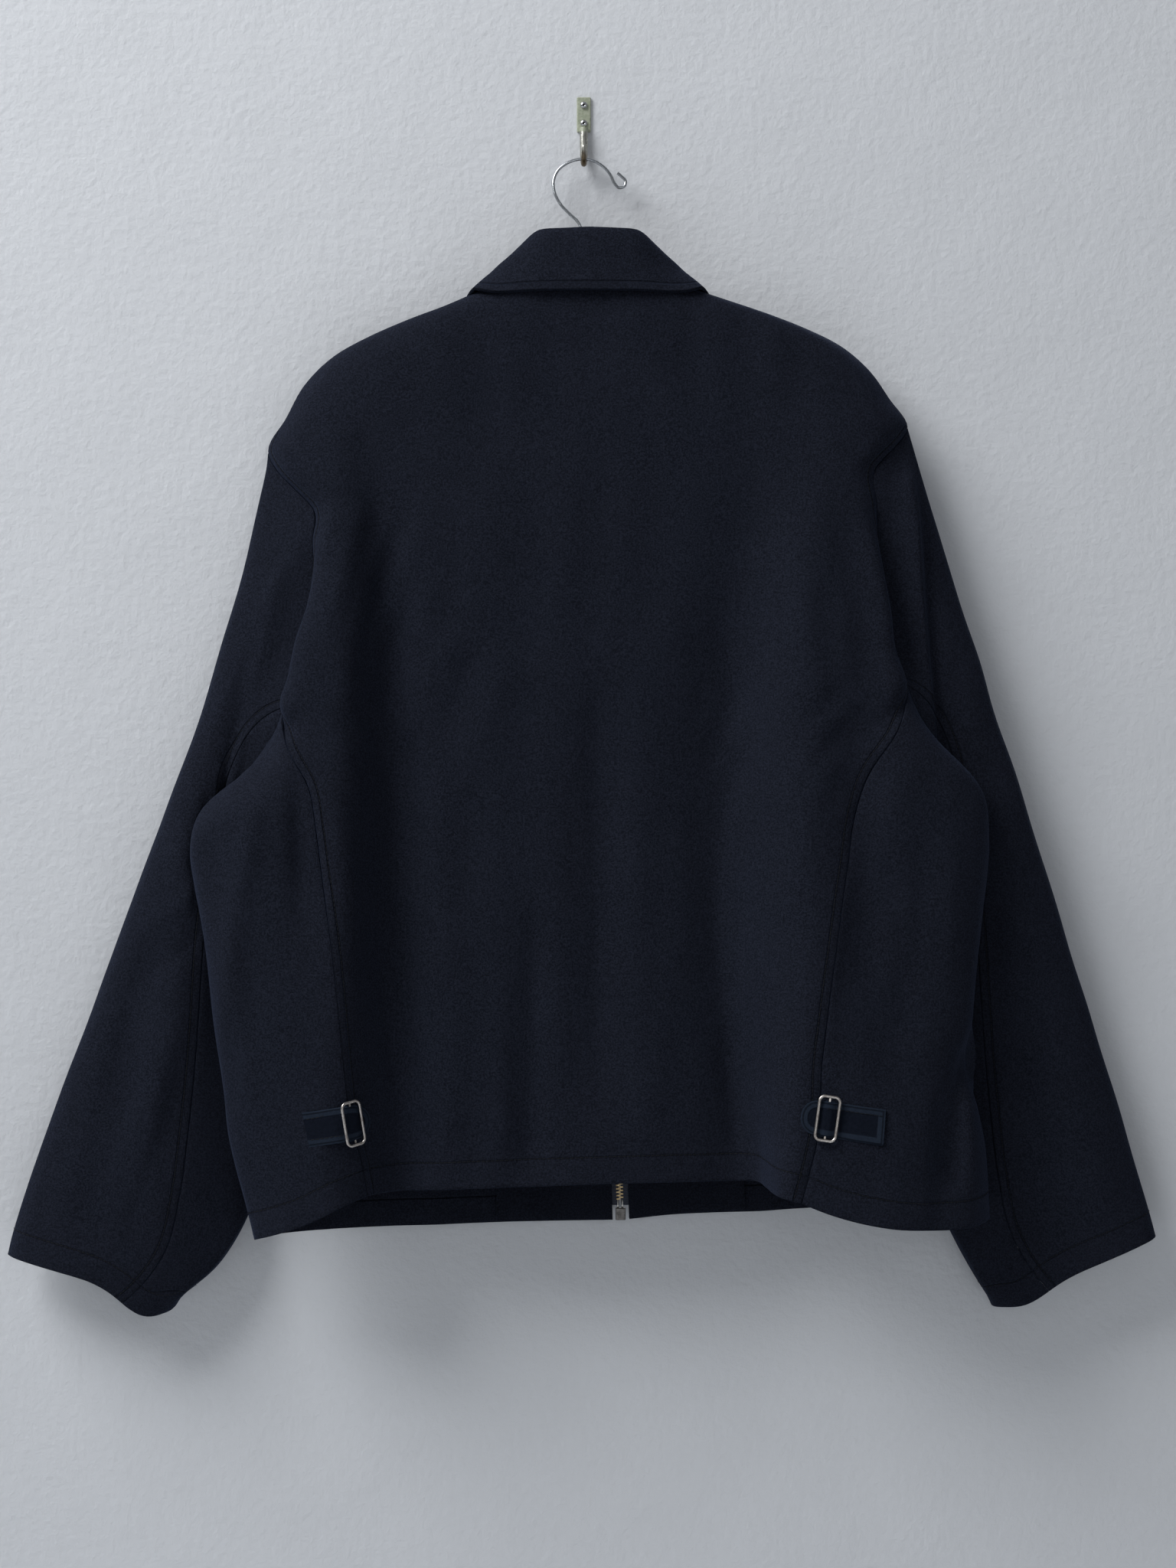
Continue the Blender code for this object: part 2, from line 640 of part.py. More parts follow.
def front_rows(side):
    """A front, from its outer edge to the zip. Its rows bow along the neckline and flatten lower."""
    rows = []
    for level in FRONT_LEVELS:
        start = body_point(level, front_boundary(side, level))
        if level < HEM:
            end_drop = centre_drop(stage_drop(side, level))
            end_x = centre_front_x(end_drop) + side * ZIP_OPENING
            bow = ease(1 - level / TIP)

            def point(share):
                if share == 0:
                    return start
                x = blend(start.x, end_x, blend(share, 1 - cos(share * pi / 2), bow))
                drop = blend(-start.z, end_drop, blend(share, sin(share * pi / 2), bow))
                return body_point(*find_on_body(x, drop, "front"))

        else:
            end_x = centre_front_x(LEFT_DROPS[HEM]) + side * ZIP_OPENING

            def point(share):
                if share == 0:
                    return start
                return body_point(HEM, turn_at(HEM, blend(start.x, end_x, share), "front"))

        rows.append(even_row(point, FRONT_COLUMNS, 36, EDGE_CROWDING))
    return rows


# ---------------------------------------------------------------- sleeves


def armhole_loop(side):
    """The armhole's points, as (point, share of its height, face): down the back and up the front."""
    tip_drop, low_drop = STAGE_DROPS[side][TIP], STAGE_DROPS[side][UNDERARM]
    back_levels = [level for level in BACK_LEVELS if TIP <= level <= JUNCTION]
    back_levels += spaced(JUNCTION, UNDERARM, SIDE_COLUMNS)[1:]
    front_levels = [level for level in FRONT_LEVELS if TIP <= level <= UNDERARM]
    loops = []
    for face, levels in (("back", back_levels), ("front", front_levels)):
        loop = []
        for level in levels:
            point = body_point(level, side * ARMHOLE_TURN[face](level))
            share = (stage_drop(side, level) - tip_drop) / (low_drop - tip_drop)
            loop.append((point, share, face))
        loops.append(loop)
    return loops


def lifted_clear(point, tree, lift):
    """A point moved out of the body's cloth until it is at least lift away from its middle."""
    for _ in range(2):
        place, normal, _, distance = tree.find_nearest(point)
        height = (point - place).dot(normal)
        if height >= 0 and distance < lift:
            point = point + normal * (lift - distance)
        elif height < 0 and distance < -1.2 * height:
            point = point + normal * (lift - height)
    return point


def sleeve_point(side, share, start):
    """A point of the sleeve's cloth, share 0 at the armhole to 1 at the cuff."""
    armhole_point, across, face = start
    if share == 0:
        return armhole_point
    read = {name: curve(share) for name, curve in SLEEVE[side].items()}
    x = blend(read["outer_x"], read["inner_x"], across)
    drop = blend(read["outer_drop"], read["inner_drop"], across)
    fullness = (2 * sqrt(max(0.0, across * (1 - across)))) ** SLEEVE_ROUND
    droop = CUFF_DROOP[side] * ease((share - 0.75) / 0.25) * exp(-(((across - 0.8) / 0.18) ** 2))
    depth = read["depth"] - SLEEVE_TUCK * across**2
    if face == "back":
        depth += fullness * read["half"]
        depth += min(1.0, 2 * fullness) * sum(fold_rise(fold, x, drop) for fold in SLEEVE_FOLDS[side])
    else:
        depth -= fullness * read["half"] * (1 - 0.4 * across)
        droop *= 0.35
    free = Vector((x, -depth, -(drop + droop)))
    left_to_go = 1 - min(1.0, share / blend(SLEEVE_SETTLE_TOP, SLEEVE_SETTLE_LOW, across))
    point = armhole_point.lerp(free, 1 - left_to_go**2)
    level = level_at(side, -point.z)
    x = point.x - side * SLEEVE_CLEAR
    if JUNCTION < level < HEM and abs(x) < abs(EDGE_X[side](-point.z)):
        point.y = max(point.y, body_point(level, turn_at(level, x, "front")).y + SLEEVE_CLEAR)
    return point


def sleeve_rows(side):
    """Rows of the upper and the under sleeve, which meet at the junction's height on both faces."""
    back_loop, front_loop = armhole_loop(side)
    split = TIP_ROWS + FOLD_ROWS
    upper = front_loop[split::-1] + back_loop[1 : split + 1]
    under = back_loop[split:] + front_loop[-2 : split - 1 : -1]
    pieces = []
    for loop in (upper, under):
        rows = [[start[0] for start in loop]]
        turning = spaced(0.0, SLEEVE_TURN, SLEEVE_TURN_ROWS)[1:]
        for share in turning + spaced(SLEEVE_TURN, 1.0, SLEEVE_ROWS)[1:]:
            rows.append([sleeve_point(side, share, start) for start in loop])
        pieces.append(rows)
    return pieces


# ---------------------------------------------------------------- collar


def collar_rows(neck_points, tree):
    """Rows from the neck seam up the stand, over the roll and down the fall.

    neck_points run from the left end at the zip, round the back of the neck, to the right end.
    """
    centre = min(range(len(neck_points)), key=lambda i: abs(i - (len(neck_points) - 1) / 2))
    shoulder = FRONT_COLUMNS
    columns, ends = [], []
    for i, point in enumerate(neck_points):
        side = LEFT if i <= centre else RIGHT
        step = min(i, len(neck_points) - 1 - i)
        if step < shoulder:
            share = 1 - (1 - SHOULDER_SHARE) * step / shoulder
        else:
            share = SHOULDER_SHARE * (centre - step) / (centre - shoulder)
        line = {name: curve(share) for name, curve in COLLAR_LINE.items()}
        roll = Vector((NECK_CENTRE_X + side * line["roll_x"], -line["roll_depth"], -line["roll_drop"]))
        edge = Vector((NECK_CENTRE_X + side * line["edge_x"], -line["edge_depth"], -line["edge_drop"]))
        over_shoulder = SHOULDER_CLEAR * exp(-(((share - SHOULDER_SHARE) / 0.08) ** 2))
        edge = lifted_clear(edge, tree, COLLAR_CLEAR + over_shoulder)
        ends.append((point, roll, edge))
    for i, (point, roll, edge) in enumerate(ends):
        along = (ends[min(i + 1, len(ends) - 1)][1] - ends[max(i - 1, 0)][1]).normalized()
        down = (edge - roll).normalized() + (point - roll).normalized()
        upward = -(down - along * down.dot(along)).normalized()
        out = along.cross(upward) * COLLAR_ROLL
        up = upward * COLLAR_ROLL
        fall_middle = (roll + out).lerp(edge, 0.5) + out * 0.3
        columns.append(
            [
                point,
                point.lerp(roll - out, 0.5),
                roll - out - up * 0.6,
                roll - out * 0.75 + up * 0.55,
                roll + up * 0.95,
                roll + out * 0.75 + up * 0.55,
                roll + out - up * 0.6,
                lifted_clear(fall_middle, tree, COLLAR_CLEAR),
                edge,
            ]
        )
    return [[column[i] for column in columns] for i in range(len(columns[0]))]


# ---------------------------------------------------------------- making cloth solid


class Sheet:
    """A grid of points down the middle of a piece of cloth, whose outer face is the one seen from outside."""

    def __init__(self, name, rows, flip=False):
        self.name = name
        self.rows = rows
        self.flip = flip

    def own_normals(self):
        """One area-weighted normal for each point."""
        count, width = len(self.rows), len(self.rows[0])
        normals = [[Vector() for _ in range(width)] for _ in range(count)]
        for i in range(count - 1):
            for j in range(width - 1):
                a, b = self.rows[i][j], self.rows[i][j + 1]
                c, d = self.rows[i + 1][j + 1], self.rows[i + 1][j]
                normal = (d - b).cross(c - a)
                if self.flip:
                    normal = -normal
                for k, m in ((i, j), (i, j + 1), (i + 1, j + 1), (i + 1, j)):
                    normals[k][m] += normal
        return normals


def sheet_tree(sheets):
    """The middle surface of some pieces, to measure from."""
    points, quads = [], []
    for sheet in sheets:
        width = len(sheet.rows[0])
        start = len(points)
        points += [point for row in sheet.rows for point in row]
        for i in range(len(sheet.rows) - 1):
            for j in range(width - 1):
                corner = start + i * width + j
                quad = (corner, corner + 1, corner + width + 1, corner + width)
                quads.append(quad if sheet.flip else quad[::-1])
    return BVHTree.FromPolygons(points, quads)


def weld_key(point):
    return tuple(round(value * 1000) for value in point)


def shared_normals(sheets):
    """Normals by place, so that two pieces that meet at a seam turn the same way there."""
    shared = {}
    for sheet in sheets:
        for row, row_normals in zip(sheet.rows, sheet.own_normals()):
            for point, normal in zip(row, row_normals):
                key = weld_key(point)
                shared[key] = shared.get(key, Vector()) + normal.normalized()
    return {key: normal.normalized() for key, normal in shared.items()}


def trimmed(rows, normals, i, j, gap):
    """A grid point, drawn back from the piece's own edge by half a seam gap."""
    point = rows[i][j].copy()
    last_i, last_j = len(rows) - 1, len(rows[0]) - 1
    inward = rows[min(max(i, 1), last_i - 1)][min(max(j, 1), last_j - 1)] - rows[i][j]
    if i in (0, last_i):
        along = rows[i][min(j + 1, last_j)] - rows[i][max(j - 1, 0)]
        square = along.cross(normals[i][j]).normalized()
        point += square * (gap if square.dot(inward) > 0 else -gap)
    if j in (0, last_j):
        along = rows[min(i + 1, last_i)][j] - rows[max(i - 1, 0)][j]
        square = along.cross(normals[i][j]).normalized()
        point += square * (gap if square.dot(inward) > 0 else -gap)
    return point


def wall_mesh(name, rows, normals, thickness, gap, flip):
    """A closed wall round a grid of points down its middle."""
    mesh = bmesh.new()
    outer, inner = [], []
    for i, row in enumerate(rows):
        outer.append([])
        inner.append([])
        for j in range(len(row)):
            point = trimmed(rows, normals, i, j, gap)
            normal = normals[i][j]
            outer[-1].append(mesh.verts.new((point + normal * (thickness / 2)) * MM))
            inner[-1].append(mesh.verts.new((point - normal * (thickness / 2)) * MM))
    last_i, last_j = len(rows) - 1, len(rows[0]) - 1
    for i in range(last_i):
        for j in range(last_j):
            quad = [outer[i][j], outer[i][j + 1], outer[i + 1][j + 1], outer[i + 1][j]]
            back = [inner[i][j], inner[i + 1][j], inner[i + 1][j + 1], inner[i][j + 1]]
            mesh.faces.new(quad if flip else quad[::-1])
            mesh.faces.new(back if flip else back[::-1])
    rim = [(0, j) for j in range(last_j)] + [(i, last_j) for i in range(last_i)]
    rim += [(last_i, j) for j in range(last_j, 0, -1)] + [(i, 0) for i in range(last_i, 0, -1)]
    for (i, j), (k, m) in zip(rim, rim[1:] + rim[:1]):
        quad = [outer[i][j], inner[i][j], inner[k][m], outer[k][m]]
        # Both pieces at a seam split their edge faces along the same diagonal.
        if tuple(rows[i][j]) < tuple(rows[k][m]):
            quad = quad[1:] + quad[:1]
        for corners in (quad[:3], [quad[0], *quad[2:]]):
            mesh.faces.new(corners if flip else corners[::-1])
    return finish_mesh(name, mesh)


def finish_mesh(name, mesh):
    bmesh.ops.triangulate(mesh, faces=mesh.faces[:], quad_method="SHORT_EDGE")
    data = bpy.data.meshes.new(name)
    mesh.to_mesh(data)
    mesh.free()
    return data


def add_object(name, data, material):
    """One named piece, shaded smooth but for its sharp edges."""
    thing = bpy.data.objects.new(name, data)
    bpy.context.scene.collection.objects.link(thing)
    data.materials.append(material)
    data.shade_smooth()
    data.set_sharp_from_angle(angle=radians(40))
    return thing


def add_wall(sheet, normals, material, thickness=CLOTH):
    grid = [[normals[weld_key(point)] for point in row] for row in sheet.rows]
    data = wall_mesh(sheet.name, sheet.rows, grid, thickness, SEAM_GAP / 2, sheet.flip)
    add_object(sheet.name, data, material)


def principled(name, colour, roughness, metallic=0.0):
    material = bpy.data.materials.new(name)
    material.use_nodes = True
    shader = material.node_tree.nodes["Principled BSDF"]
    shader.inputs["Base Color"].default_value = (*colour, 1.0)
    shader.inputs["Roughness"].default_value = roughness
    shader.inputs["Metallic"].default_value = metallic
    return material


# ---------------------------------------------------------------- pieces laid on a panel


def surface_frame(x, drop, face):
    """A point of the body with its outward normal, its level direction and its downward direction."""
    reach = 2.0

    def near(across, below):
        return body_point(*find_on_body(x + across, drop + below, face))

    point = near(0, 0)
    right = near(reach, 0) - near(-reach, 0)
    down = near(0, reach) - near(0, -reach)
    normal = right.cross(down).normalized()
    if (normal.y > 0) == (face == "back"):
        normal = -normal
    return point, normal, right.normalized(), down.normalized()


def laid_grid(places, face, lift):
    """Points and normals for a grid of (x, drop) places on the body, lifted outward."""
    rows, normals = [], []
    for line in places:
        frames = [surface_frame(x, drop, face) for x, drop in line]
        rows.append([frame[0] + frame[1] * lift for frame in frames])
        normals.append([frame[1] for frame in frames])
    return rows, normals


def add_laid(name, places, face, lift, thickness, material, flip):
    rows, normals = laid_grid(places, face, lift)
    data = wall_mesh(name, rows, normals, thickness, 0.0, flip)
    add_object(name, data, material)


def strap_stations(strap):
    """(distance along the strap, height, width share) at each line across it, to the round tip."""
    length = hypot(strap.tip_x - strap.sewn_x, strap.tip_drop - strap.sewn_drop)
    at = length * strap.buckle
    flat = CLOTH / 2 + LAY_GAP + STRAP_CLOTH / 2
    over = flat + BUCKLE_CROSSBAR + STRAP_BAR_GAP
    stations = [(0.0, flat, 1.0), (at * 0.45, flat, 1.0), (at - 9.5, flat, 1.0), (at - 6.0, flat, 1.0)]
    stations += [(at - 2.2, over, 1.0), (at + 2.2, over, 1.0), (at + 6.0, flat, 1.0)]
    half = STRAP_WIDTH / 2
    for share in (0.0, 0.55, 0.85, 0.98):
        run = length - half + half * share
        if run > at + 7.0:
            stations.append((run, flat, sqrt(1 - share**2)))
    return stations


def add_strap(strap, material):
    start = Vector((strap.sewn_x, strap.sewn_drop))
    along = (Vector((strap.tip_x, strap.tip_drop)) - start).normalized()
    side = Vector((-along.y, along.x))
    rows, normals = [], []
    for share in (-1, -0.5, 0, 0.5, 1):
        rows.append([])
        normals.append([])
        for run, height, width in strap_stations(strap):
            place = start + along * run + side * (share * width * STRAP_WIDTH / 2)
            point, normal, _, _ = surface_frame(place.x, place.y, "back")
            rows[-1].append(point + normal * height)
            normals[-1].append(normal)
    name = "strap_" + strap.name
    add_object(name, wall_mesh(name, rows, normals, STRAP_CLOTH, 0.0, False), material)


def rounded_frame_profile(length, width, radius, steps):
    """Corner points of a rectangle with round corners, as (along, across)."""
    points = []
    for corner, (along, across) in enumerate(((1, 1), (-1, 1), (-1, -1), (1, -1))):
        centre_along = along * (length / 2 - radius)
        centre_across = across * (width / 2 - radius)
        for i in range(steps + 1):
            turn = pi / 2 * (corner + i / steps)
            points.append((centre_along + radius * cos(turn), centre_across + radius * sin(turn)))
    return points


def ring_bmesh(loops):
    """A closed ring whose section is a closed chain of loops."""
    mesh = bmesh.new()
    rings = [[mesh.verts.new(point) for point in loop] for loop in loops]
    count = len(rings[0])
    for ring, following in zip(rings, rings[1:] + rings[:1]):
        for i in range(count):
            k = (i + 1) % count
            mesh.faces.new((ring[i], ring[k], following[k], following[i]))
    bmesh.ops.recalc_face_normals(mesh, faces=mesh.faces[:])
    return mesh


def box_object(name, centre, size):
    """A block, kept as a guide until it is joined to a piece or shown."""
    mesh = bmesh.new()
    bmesh.ops.create_cube(mesh, size=MM)
    bmesh.ops.scale(mesh, vec=Vector(size), verts=mesh.verts[:])
    bmesh.ops.translate(mesh, vec=Vector(centre) * MM, verts=mesh.verts[:])
    data = bpy.data.meshes.new(name)
    mesh.to_mesh(data)
    mesh.free()
    thing = bpy.data.objects.new(name, data)
    bpy.context.scene.collection.objects.link(thing)
    thing.hide_render = True
    thing.display_type = "WIRE"
    return thing


def show_object(thing, name, material):
    """Makes a finished guide a piece of the jacket."""
    thing.name = name
    thing.hide_render = False
    thing.display_type = "TEXTURED"
    thing.data.materials.append(material)


def apply_boolean(target, tool, operation):
    """Joins or cuts the target with the tool, and removes the tool."""
    modifier = target.modifiers.new("Boolean", "BOOLEAN")
    modifier.object = tool
    modifier.operation = operation
    evaluated = target.evaluated_get(bpy.context.evaluated_depsgraph_get())
    data = bpy.data.meshes.new_from_object(evaluated)
    old = target.data
    target.modifiers.clear()
    target.data = data
    data.name = old.name
    bpy.data.meshes.remove(old)
    bpy.data.objects.remove(tool)


def add_buckle(strap, material):
    """A rectangular slide buckle: a frame over the strap and a crossbar under it."""
    place = Vector((strap.sewn_x, strap.sewn_drop)).lerp(Vector((strap.tip_x, strap.tip_drop)), strap.buckle)
    point, normal, _, _ = surface_frame(place.x, place.y, "back")
    along = Vector((strap.tip_x - strap.sewn_x, 0, -(strap.tip_drop - strap.sewn_drop))).normalized()
    along = (along - normal * along.dot(normal)).normalized()
    across = normal.cross(along)
    section = BUCKLE_BAR / 2
    frame_height = CLOTH / 2 + 2 * LAY_GAP + STRAP_CLOTH + STRAP_FRAME_GAP + section
    loops = []
    for out, up in ((-1, -0.6), (-1, 0.6), (-0.6, 1), (0.6, 1), (1, 0.6), (1, -0.6), (0.6, -1), (-0.6, -1)):
        spread = 2 * section * out - BUCKLE_BAR
        outline = rounded_frame_profile(BUCKLE_WIDTH + spread, BUCKLE_LENGTH + spread, BUCKLE_CORNER + out, 3)
        loops.append([(u * MM, v * MM, (frame_height + section * up) * MM) for u, v in outline])
    mesh = ring_bmesh(loops)
    data = bpy.data.meshes.new("buckle_" + strap.name)
    mesh.to_mesh(data)
    mesh.free()
    thing = add_object("buckle_" + strap.name, data, material)
    low = CLOTH / 2 + LAY_GAP
    reach = BUCKLE_LENGTH / 2 - BUCKLE_BAR / 2
    bar = BUCKLE_CROSSBAR
    apply_boolean(thing, box_object("crossbar", (0, 0, low + bar / 2), (bar, 2 * reach, bar)), "UNION")
    for end in (-1, 1):
        centre = (0, end * (reach - bar / 2), (low + frame_height) / 2)
        apply_boolean(thing, box_object("post", centre, (bar, bar, frame_height - low)), "UNION")
    placing = Matrix((along, across, normal)).transposed().to_4x4()
    placing.translation = point * MM
    thing.data.transform(placing)


# ---------------------------------------------------------------- zip


def zip_frame(drop):
    return surface_frame(centre_front_x(drop), drop, "front")


def add_tape(side, material):
    """A zip tape inside the front, from the neckline to the box at the hem."""
    drops = spaced(ZIP_TOP - 5, ZIP_BOX_TOP - LAY_GAP, TAPE_ROWS)
    places = []
    for reach in (TAPE_EDGE, TAPE_WIDTH):
        places.append([(centre_front_x(drop) + side * reach, drop) for drop in drops])
    lift = -(CLOTH / 2 + LAY_GAP + TAPE_CLOTH / 2)
    add_laid("zip_tape_" + SIDE_NAME[side], places, "front", lift, TAPE_CLOTH, material, side == LEFT)


def facing_rows(side):
    """(x, drop) places of a front facing, which lies inside the front from the zip outwards."""
    lines = []
    start_x, start_drop = body_point(NECK, side * 90).x, LEFT_DROPS[NECK]
    end_drop = start_drop + FRONT_NECK_FALL
    for i in range(FACING_ROWS + 1):
        share = i / FACING_ROWS
        line = []
        for j in range(FACING_COLUMNS + 1):
            out = j / FACING_COLUMNS
            turn = blend(1.0, FACING_NECK_TURN, out)
            end_x = centre_front_x(end_drop) + side * ZIP_OPENING
            top_x = blend(start_x, end_x, 1 - cos(turn * pi / 2))
            top_drop = blend(start_drop, end_drop, sin(turn * pi / 2)) + FACING_TUCK[0]
            foot_x = centre_front_x(ZIP_BOX_FOOT) + side * blend(ZIP_OPENING, FACING_AT_HEM, out)
            foot_drop = HEM_DROP["front"](foot_x) - FACING_TUCK[1]
            line.append((blend(top_x, foot_x, share**0.8), blend(top_drop, foot_drop, share)))
        lines.append(line)
    return lines


def add_facing(side, material):
    name = "facing_" + SIDE_NAME[side]
    lift = -(CLOTH / 2 + TAPE_CLOTH + 2 * LAY_GAP + FACING_CLOTH / 2)
    add_laid(name, facing_rows(side), "front", lift, FACING_CLOTH, material, side == RIGHT)


def tape_depth(drop):
    """Depth of the middle of the zip's tape."""
    point, _, _, _ = zip_frame(drop)
    return -point.y + CLOTH / 2 + LAY_GAP + TAPE_CLOTH / 2


def add_zip_box(material):
    middle = (ZIP_BOX_TOP + ZIP_BOX_FOOT) / 2
    centre = (centre_front_x(middle), -tape_depth(middle), -middle)
    thing = box_object("zip_box", centre, (ZIP_BOX_WIDTH, ZIP_BOX_DEPTH, ZIP_BOX_FOOT - ZIP_BOX_TOP))
    bevel_box(thing, 0.6)
    show_object(thing, "zip_box", material)


def bevel_box(thing, width):
    mesh = bmesh.new()
    mesh.from_mesh(thing.data)
    bmesh.ops.bevel(
        mesh,
        geom=mesh.edges[:],
        offset=width * MM,
        offset_type="OFFSET",
        segments=2,
        profile=0.5,
        affect="EDGES",
        material=-1,
    )
    mesh.to_mesh(thing.data)
    mesh.free()


def slider_place():
    drop = ZIP_TOP + SLIDER_LENGTH / 2
    return centre_front_x(drop), tape_depth(drop), drop


def add_slider(material):
    """Two plates joined by a post between the tapes, and two lugs outside for the pull tab's pin."""
    x, depth, drop = slider_place()
    plate_gap = TAPE_CLOTH / 2 + LAY_GAP
    plate_size = (SLIDER_WIDTH, SLIDER_PLATE, SLIDER_LENGTH)
    inner, outer = (
        box_object("zip_plate", (x, -(depth + inward), -drop), plate_size)
        for inward in (plate_gap + SLIDER_PLATE / 2, -(plate_gap + SLIDER_PLATE / 2))
    )
    apply_boolean(outer, inner, "UNION")
    post_width, post_length, post_up = SLIDER_POST
    post_size = (post_width, 2 * plate_gap + SLIDER_PLATE, post_length)
    apply_boolean(outer, box_object("post", (x, -depth, -drop + post_up), post_size), "UNION")
    lug_aside, lug_off, lug_up = SLIDER_LUG_PLACE
    lug_y = -(depth - plate_gap - SLIDER_PLATE - lug_off)
    for side in (LEFT, RIGHT):
        lug = box_object("lug", (x + side * lug_aside, lug_y, -drop - lug_up), SLIDER_LUG)
        apply_boolean(outer, lug, "UNION")
    show_object(outer, "zip_slider", material)


def pull_hinge():
    """The pull tab's pin, between the slider's lugs."""
    x, depth, drop = slider_place()
    off, up = PIN_PLACE
    outward = TAPE_CLOTH / 2 + LAY_GAP + SLIDER_PLATE + off
    return Vector((x, outward - depth, up - drop))


def add_pull(material):
    """The pull tab: an eye held between the slider's lugs, and a tab that hangs from it."""
    hinge = bpy.data.objects.new("pull_hinge", None)
    hinge.location = pull_hinge() * MM
    bpy.context.scene.collection.objects.link(hinge)
    width, length, above = PULL_NECK
    neck = box_object("neck", (0, 0, above - length / 2), (width, PULL_THICK, length))
    plate_length = PULL_LENGTH - PULL_PLATE_START
    plate_middle = -PULL_PLATE_START - plate_length / 2
    plate = box_object("plate", (0, 0, plate_middle), (PULL_WIDTH, PULL_THICK, plate_length))
    bevel_box(plate, 0.45)
    apply_boolean(neck, plate, "UNION")
    neck.parent = hinge
    show_object(neck, "zip_pull", material)


# ---------------------------------------------------------------- hanger, wire and wall hook


def tube_mesh(name, points, radii, sides):
    """A tube with closed ends along a route."""
    rings = []
    tangent = (points[1] - points[0]).normalized()
    side = tangent.orthogonal().normalized()
    for i, (point, radius) in enumerate(zip(points, radii)):
        tangent = (points[min(i + 1, len(points) - 1)] - points[max(i - 1, 0)]).normalized()
        side = (side - tangent * side.dot(tangent)).normalized()
        other = tangent.cross(side)
        ring = []
        for k in range(sides):
            turn = 2 * pi * k / sides
            ring.append(point + (side * cos(turn) + other * sin(turn)) * radius)
        rings.append(ring)
    return ringed_mesh(name, rings)


def ringed_mesh(name, rings):
    """A closed body skinned over rings of points, flat at both ends."""
    mesh = bmesh.new()
    rings = [[mesh.verts.new(point * MM) for point in ring] for ring in rings]
    sides = len(rings[0])
    for ring, following in zip(rings, rings[1:]):
        for k in range(sides):
            m = (k + 1) % sides
            mesh.faces.new((ring[k], ring[m], following[m], following[k]))
    mesh.faces.new(rings[0][::-1])
    mesh.faces.new(rings[-1])
    bmesh.ops.recalc_face_normals(mesh, faces=mesh.faces[:])
    return finish_mesh(name, mesh)


def smooth_route(points, steps):
    """A Catmull-Rom curve through points."""
    route = []
    ends = [points[0] * 2 - points[1], *points, points[-1] * 2 - points[-2]]
    for i in range(1, len(ends) - 2):
        a, b, c, d = ends[i - 1 : i + 3]
        for k in range(steps):
            t = k / steps
            square = (a * 2 - b * 5 + c * 4 - d) * t**2
            cube = (b * 3 - a - c * 3 + d) * t**3
            route.append((b * 2 + (c - a) * t + square + cube) / 2)
    route.append(points[-1].copy())
    return route


def wire_route():
    top_drop = min(row.drop for row in WIRE)
    foot_drop = WIRE[0].drop
    points = []
    for row in WIRE:
        depth = blend(WIRE_TOP_DEPTH, WIRE_FOOT_DEPTH, ease((row.drop - top_drop) / (foot_drop - top_drop)))
        points.append(Vector((row.x, -depth, -row.drop)))
    return smooth_route(points, 2)


def shoulder_drop(x):
    """The drop of the shoulder line above an x."""
    rows = RIGHT_EDGE if x > NECK_CENTRE_X else LEFT_EDGE
    rows = [row for row in rows if row.drop <= RIGHT_DROPS[TIP]]
    return smooth_curve(sorted((abs(row.x), row.drop) for row in rows))(abs(x))


def hanger_top(x):
    """The drop of the hanger's top edge: just under the cloth of the shoulder, and level at the neck."""
    out = abs(x - NECK_CENTRE_X)
    under_cloth = shoulder_drop(x) + CLOTH / 2 + HANGER_CLEAR
    return blend(HANGER_NECK_DROP, under_cloth, ease(out / HANGER_NECK_REACH))


def add_hanger(material):
    """A plain curved shoulder bar with a rounded section."""
    rings = []
    for i in range(HANGER_STATIONS + 1):
        lean = 2 * i / HANGER_STATIONS - 1
        x = NECK_CENTRE_X + HANGER_HALF_LENGTH * lean
        high = blend(*HANGER_HEIGHT, ease(abs(lean))) / 2
        deep = blend(*HANGER_THICK, abs(lean)) / 2
        top = hanger_top(x)
        if i in (0, HANGER_STATIONS):
            high *= HANGER_END
            deep *= HANGER_END
            top += HANGER_END_FALL
        ring = []
        for k in range(HANGER_SIDES):
            turn = 2 * pi * k / HANGER_SIDES
            ring.append(Vector((x, -HANGER_CENTRE_DEPTH - cos(turn) * deep, -top - high + sin(turn) * high)))
        rings.append(ring)
    add_object("hanger_bar", ringed_mesh("hanger_bar", rings), material)


def add_wall_hook(material):
    """The plate with its two screw holes, and the tapered peg that curves forward from its foot."""
    thing = box_object("plate", (0, -PLATE_THICK / 2, 0), (PLATE_WIDTH, PLATE_THICK, PLATE_LENGTH))
    bevel_box(thing, 0.7)
    route = smooth_route([Vector((0, -row.depth, -row.drop)) for row in PEG], 2)
    radii = []
    for row, following in zip(PEG, PEG[1:]):
        radii += [row.radius, (row.radius + following.radius) / 2]
    radii.append(PEG[-1].radius)
    tip_reach, tip_share = PEG_TIP
    route.append(route[-1] + (route[-1] - route[-2]).normalized() * tip_reach)
    radii.append(radii[-1] * tip_share)
    peg = bpy.data.objects.new("peg", tube_mesh("peg", route, radii, PEG_SIDES))
    bpy.context.scene.collection.objects.link(peg)
    apply_boolean(thing, peg, "UNION")
    for drop in SCREW_DROPS:
        apply_boolean(thing, cylinder("screw_hole", drop, SCREW_HOLE, -1.0, PLATE_THICK + 1.0), "DIFFERENCE")
    show_object(thing, "wall_hook", material)


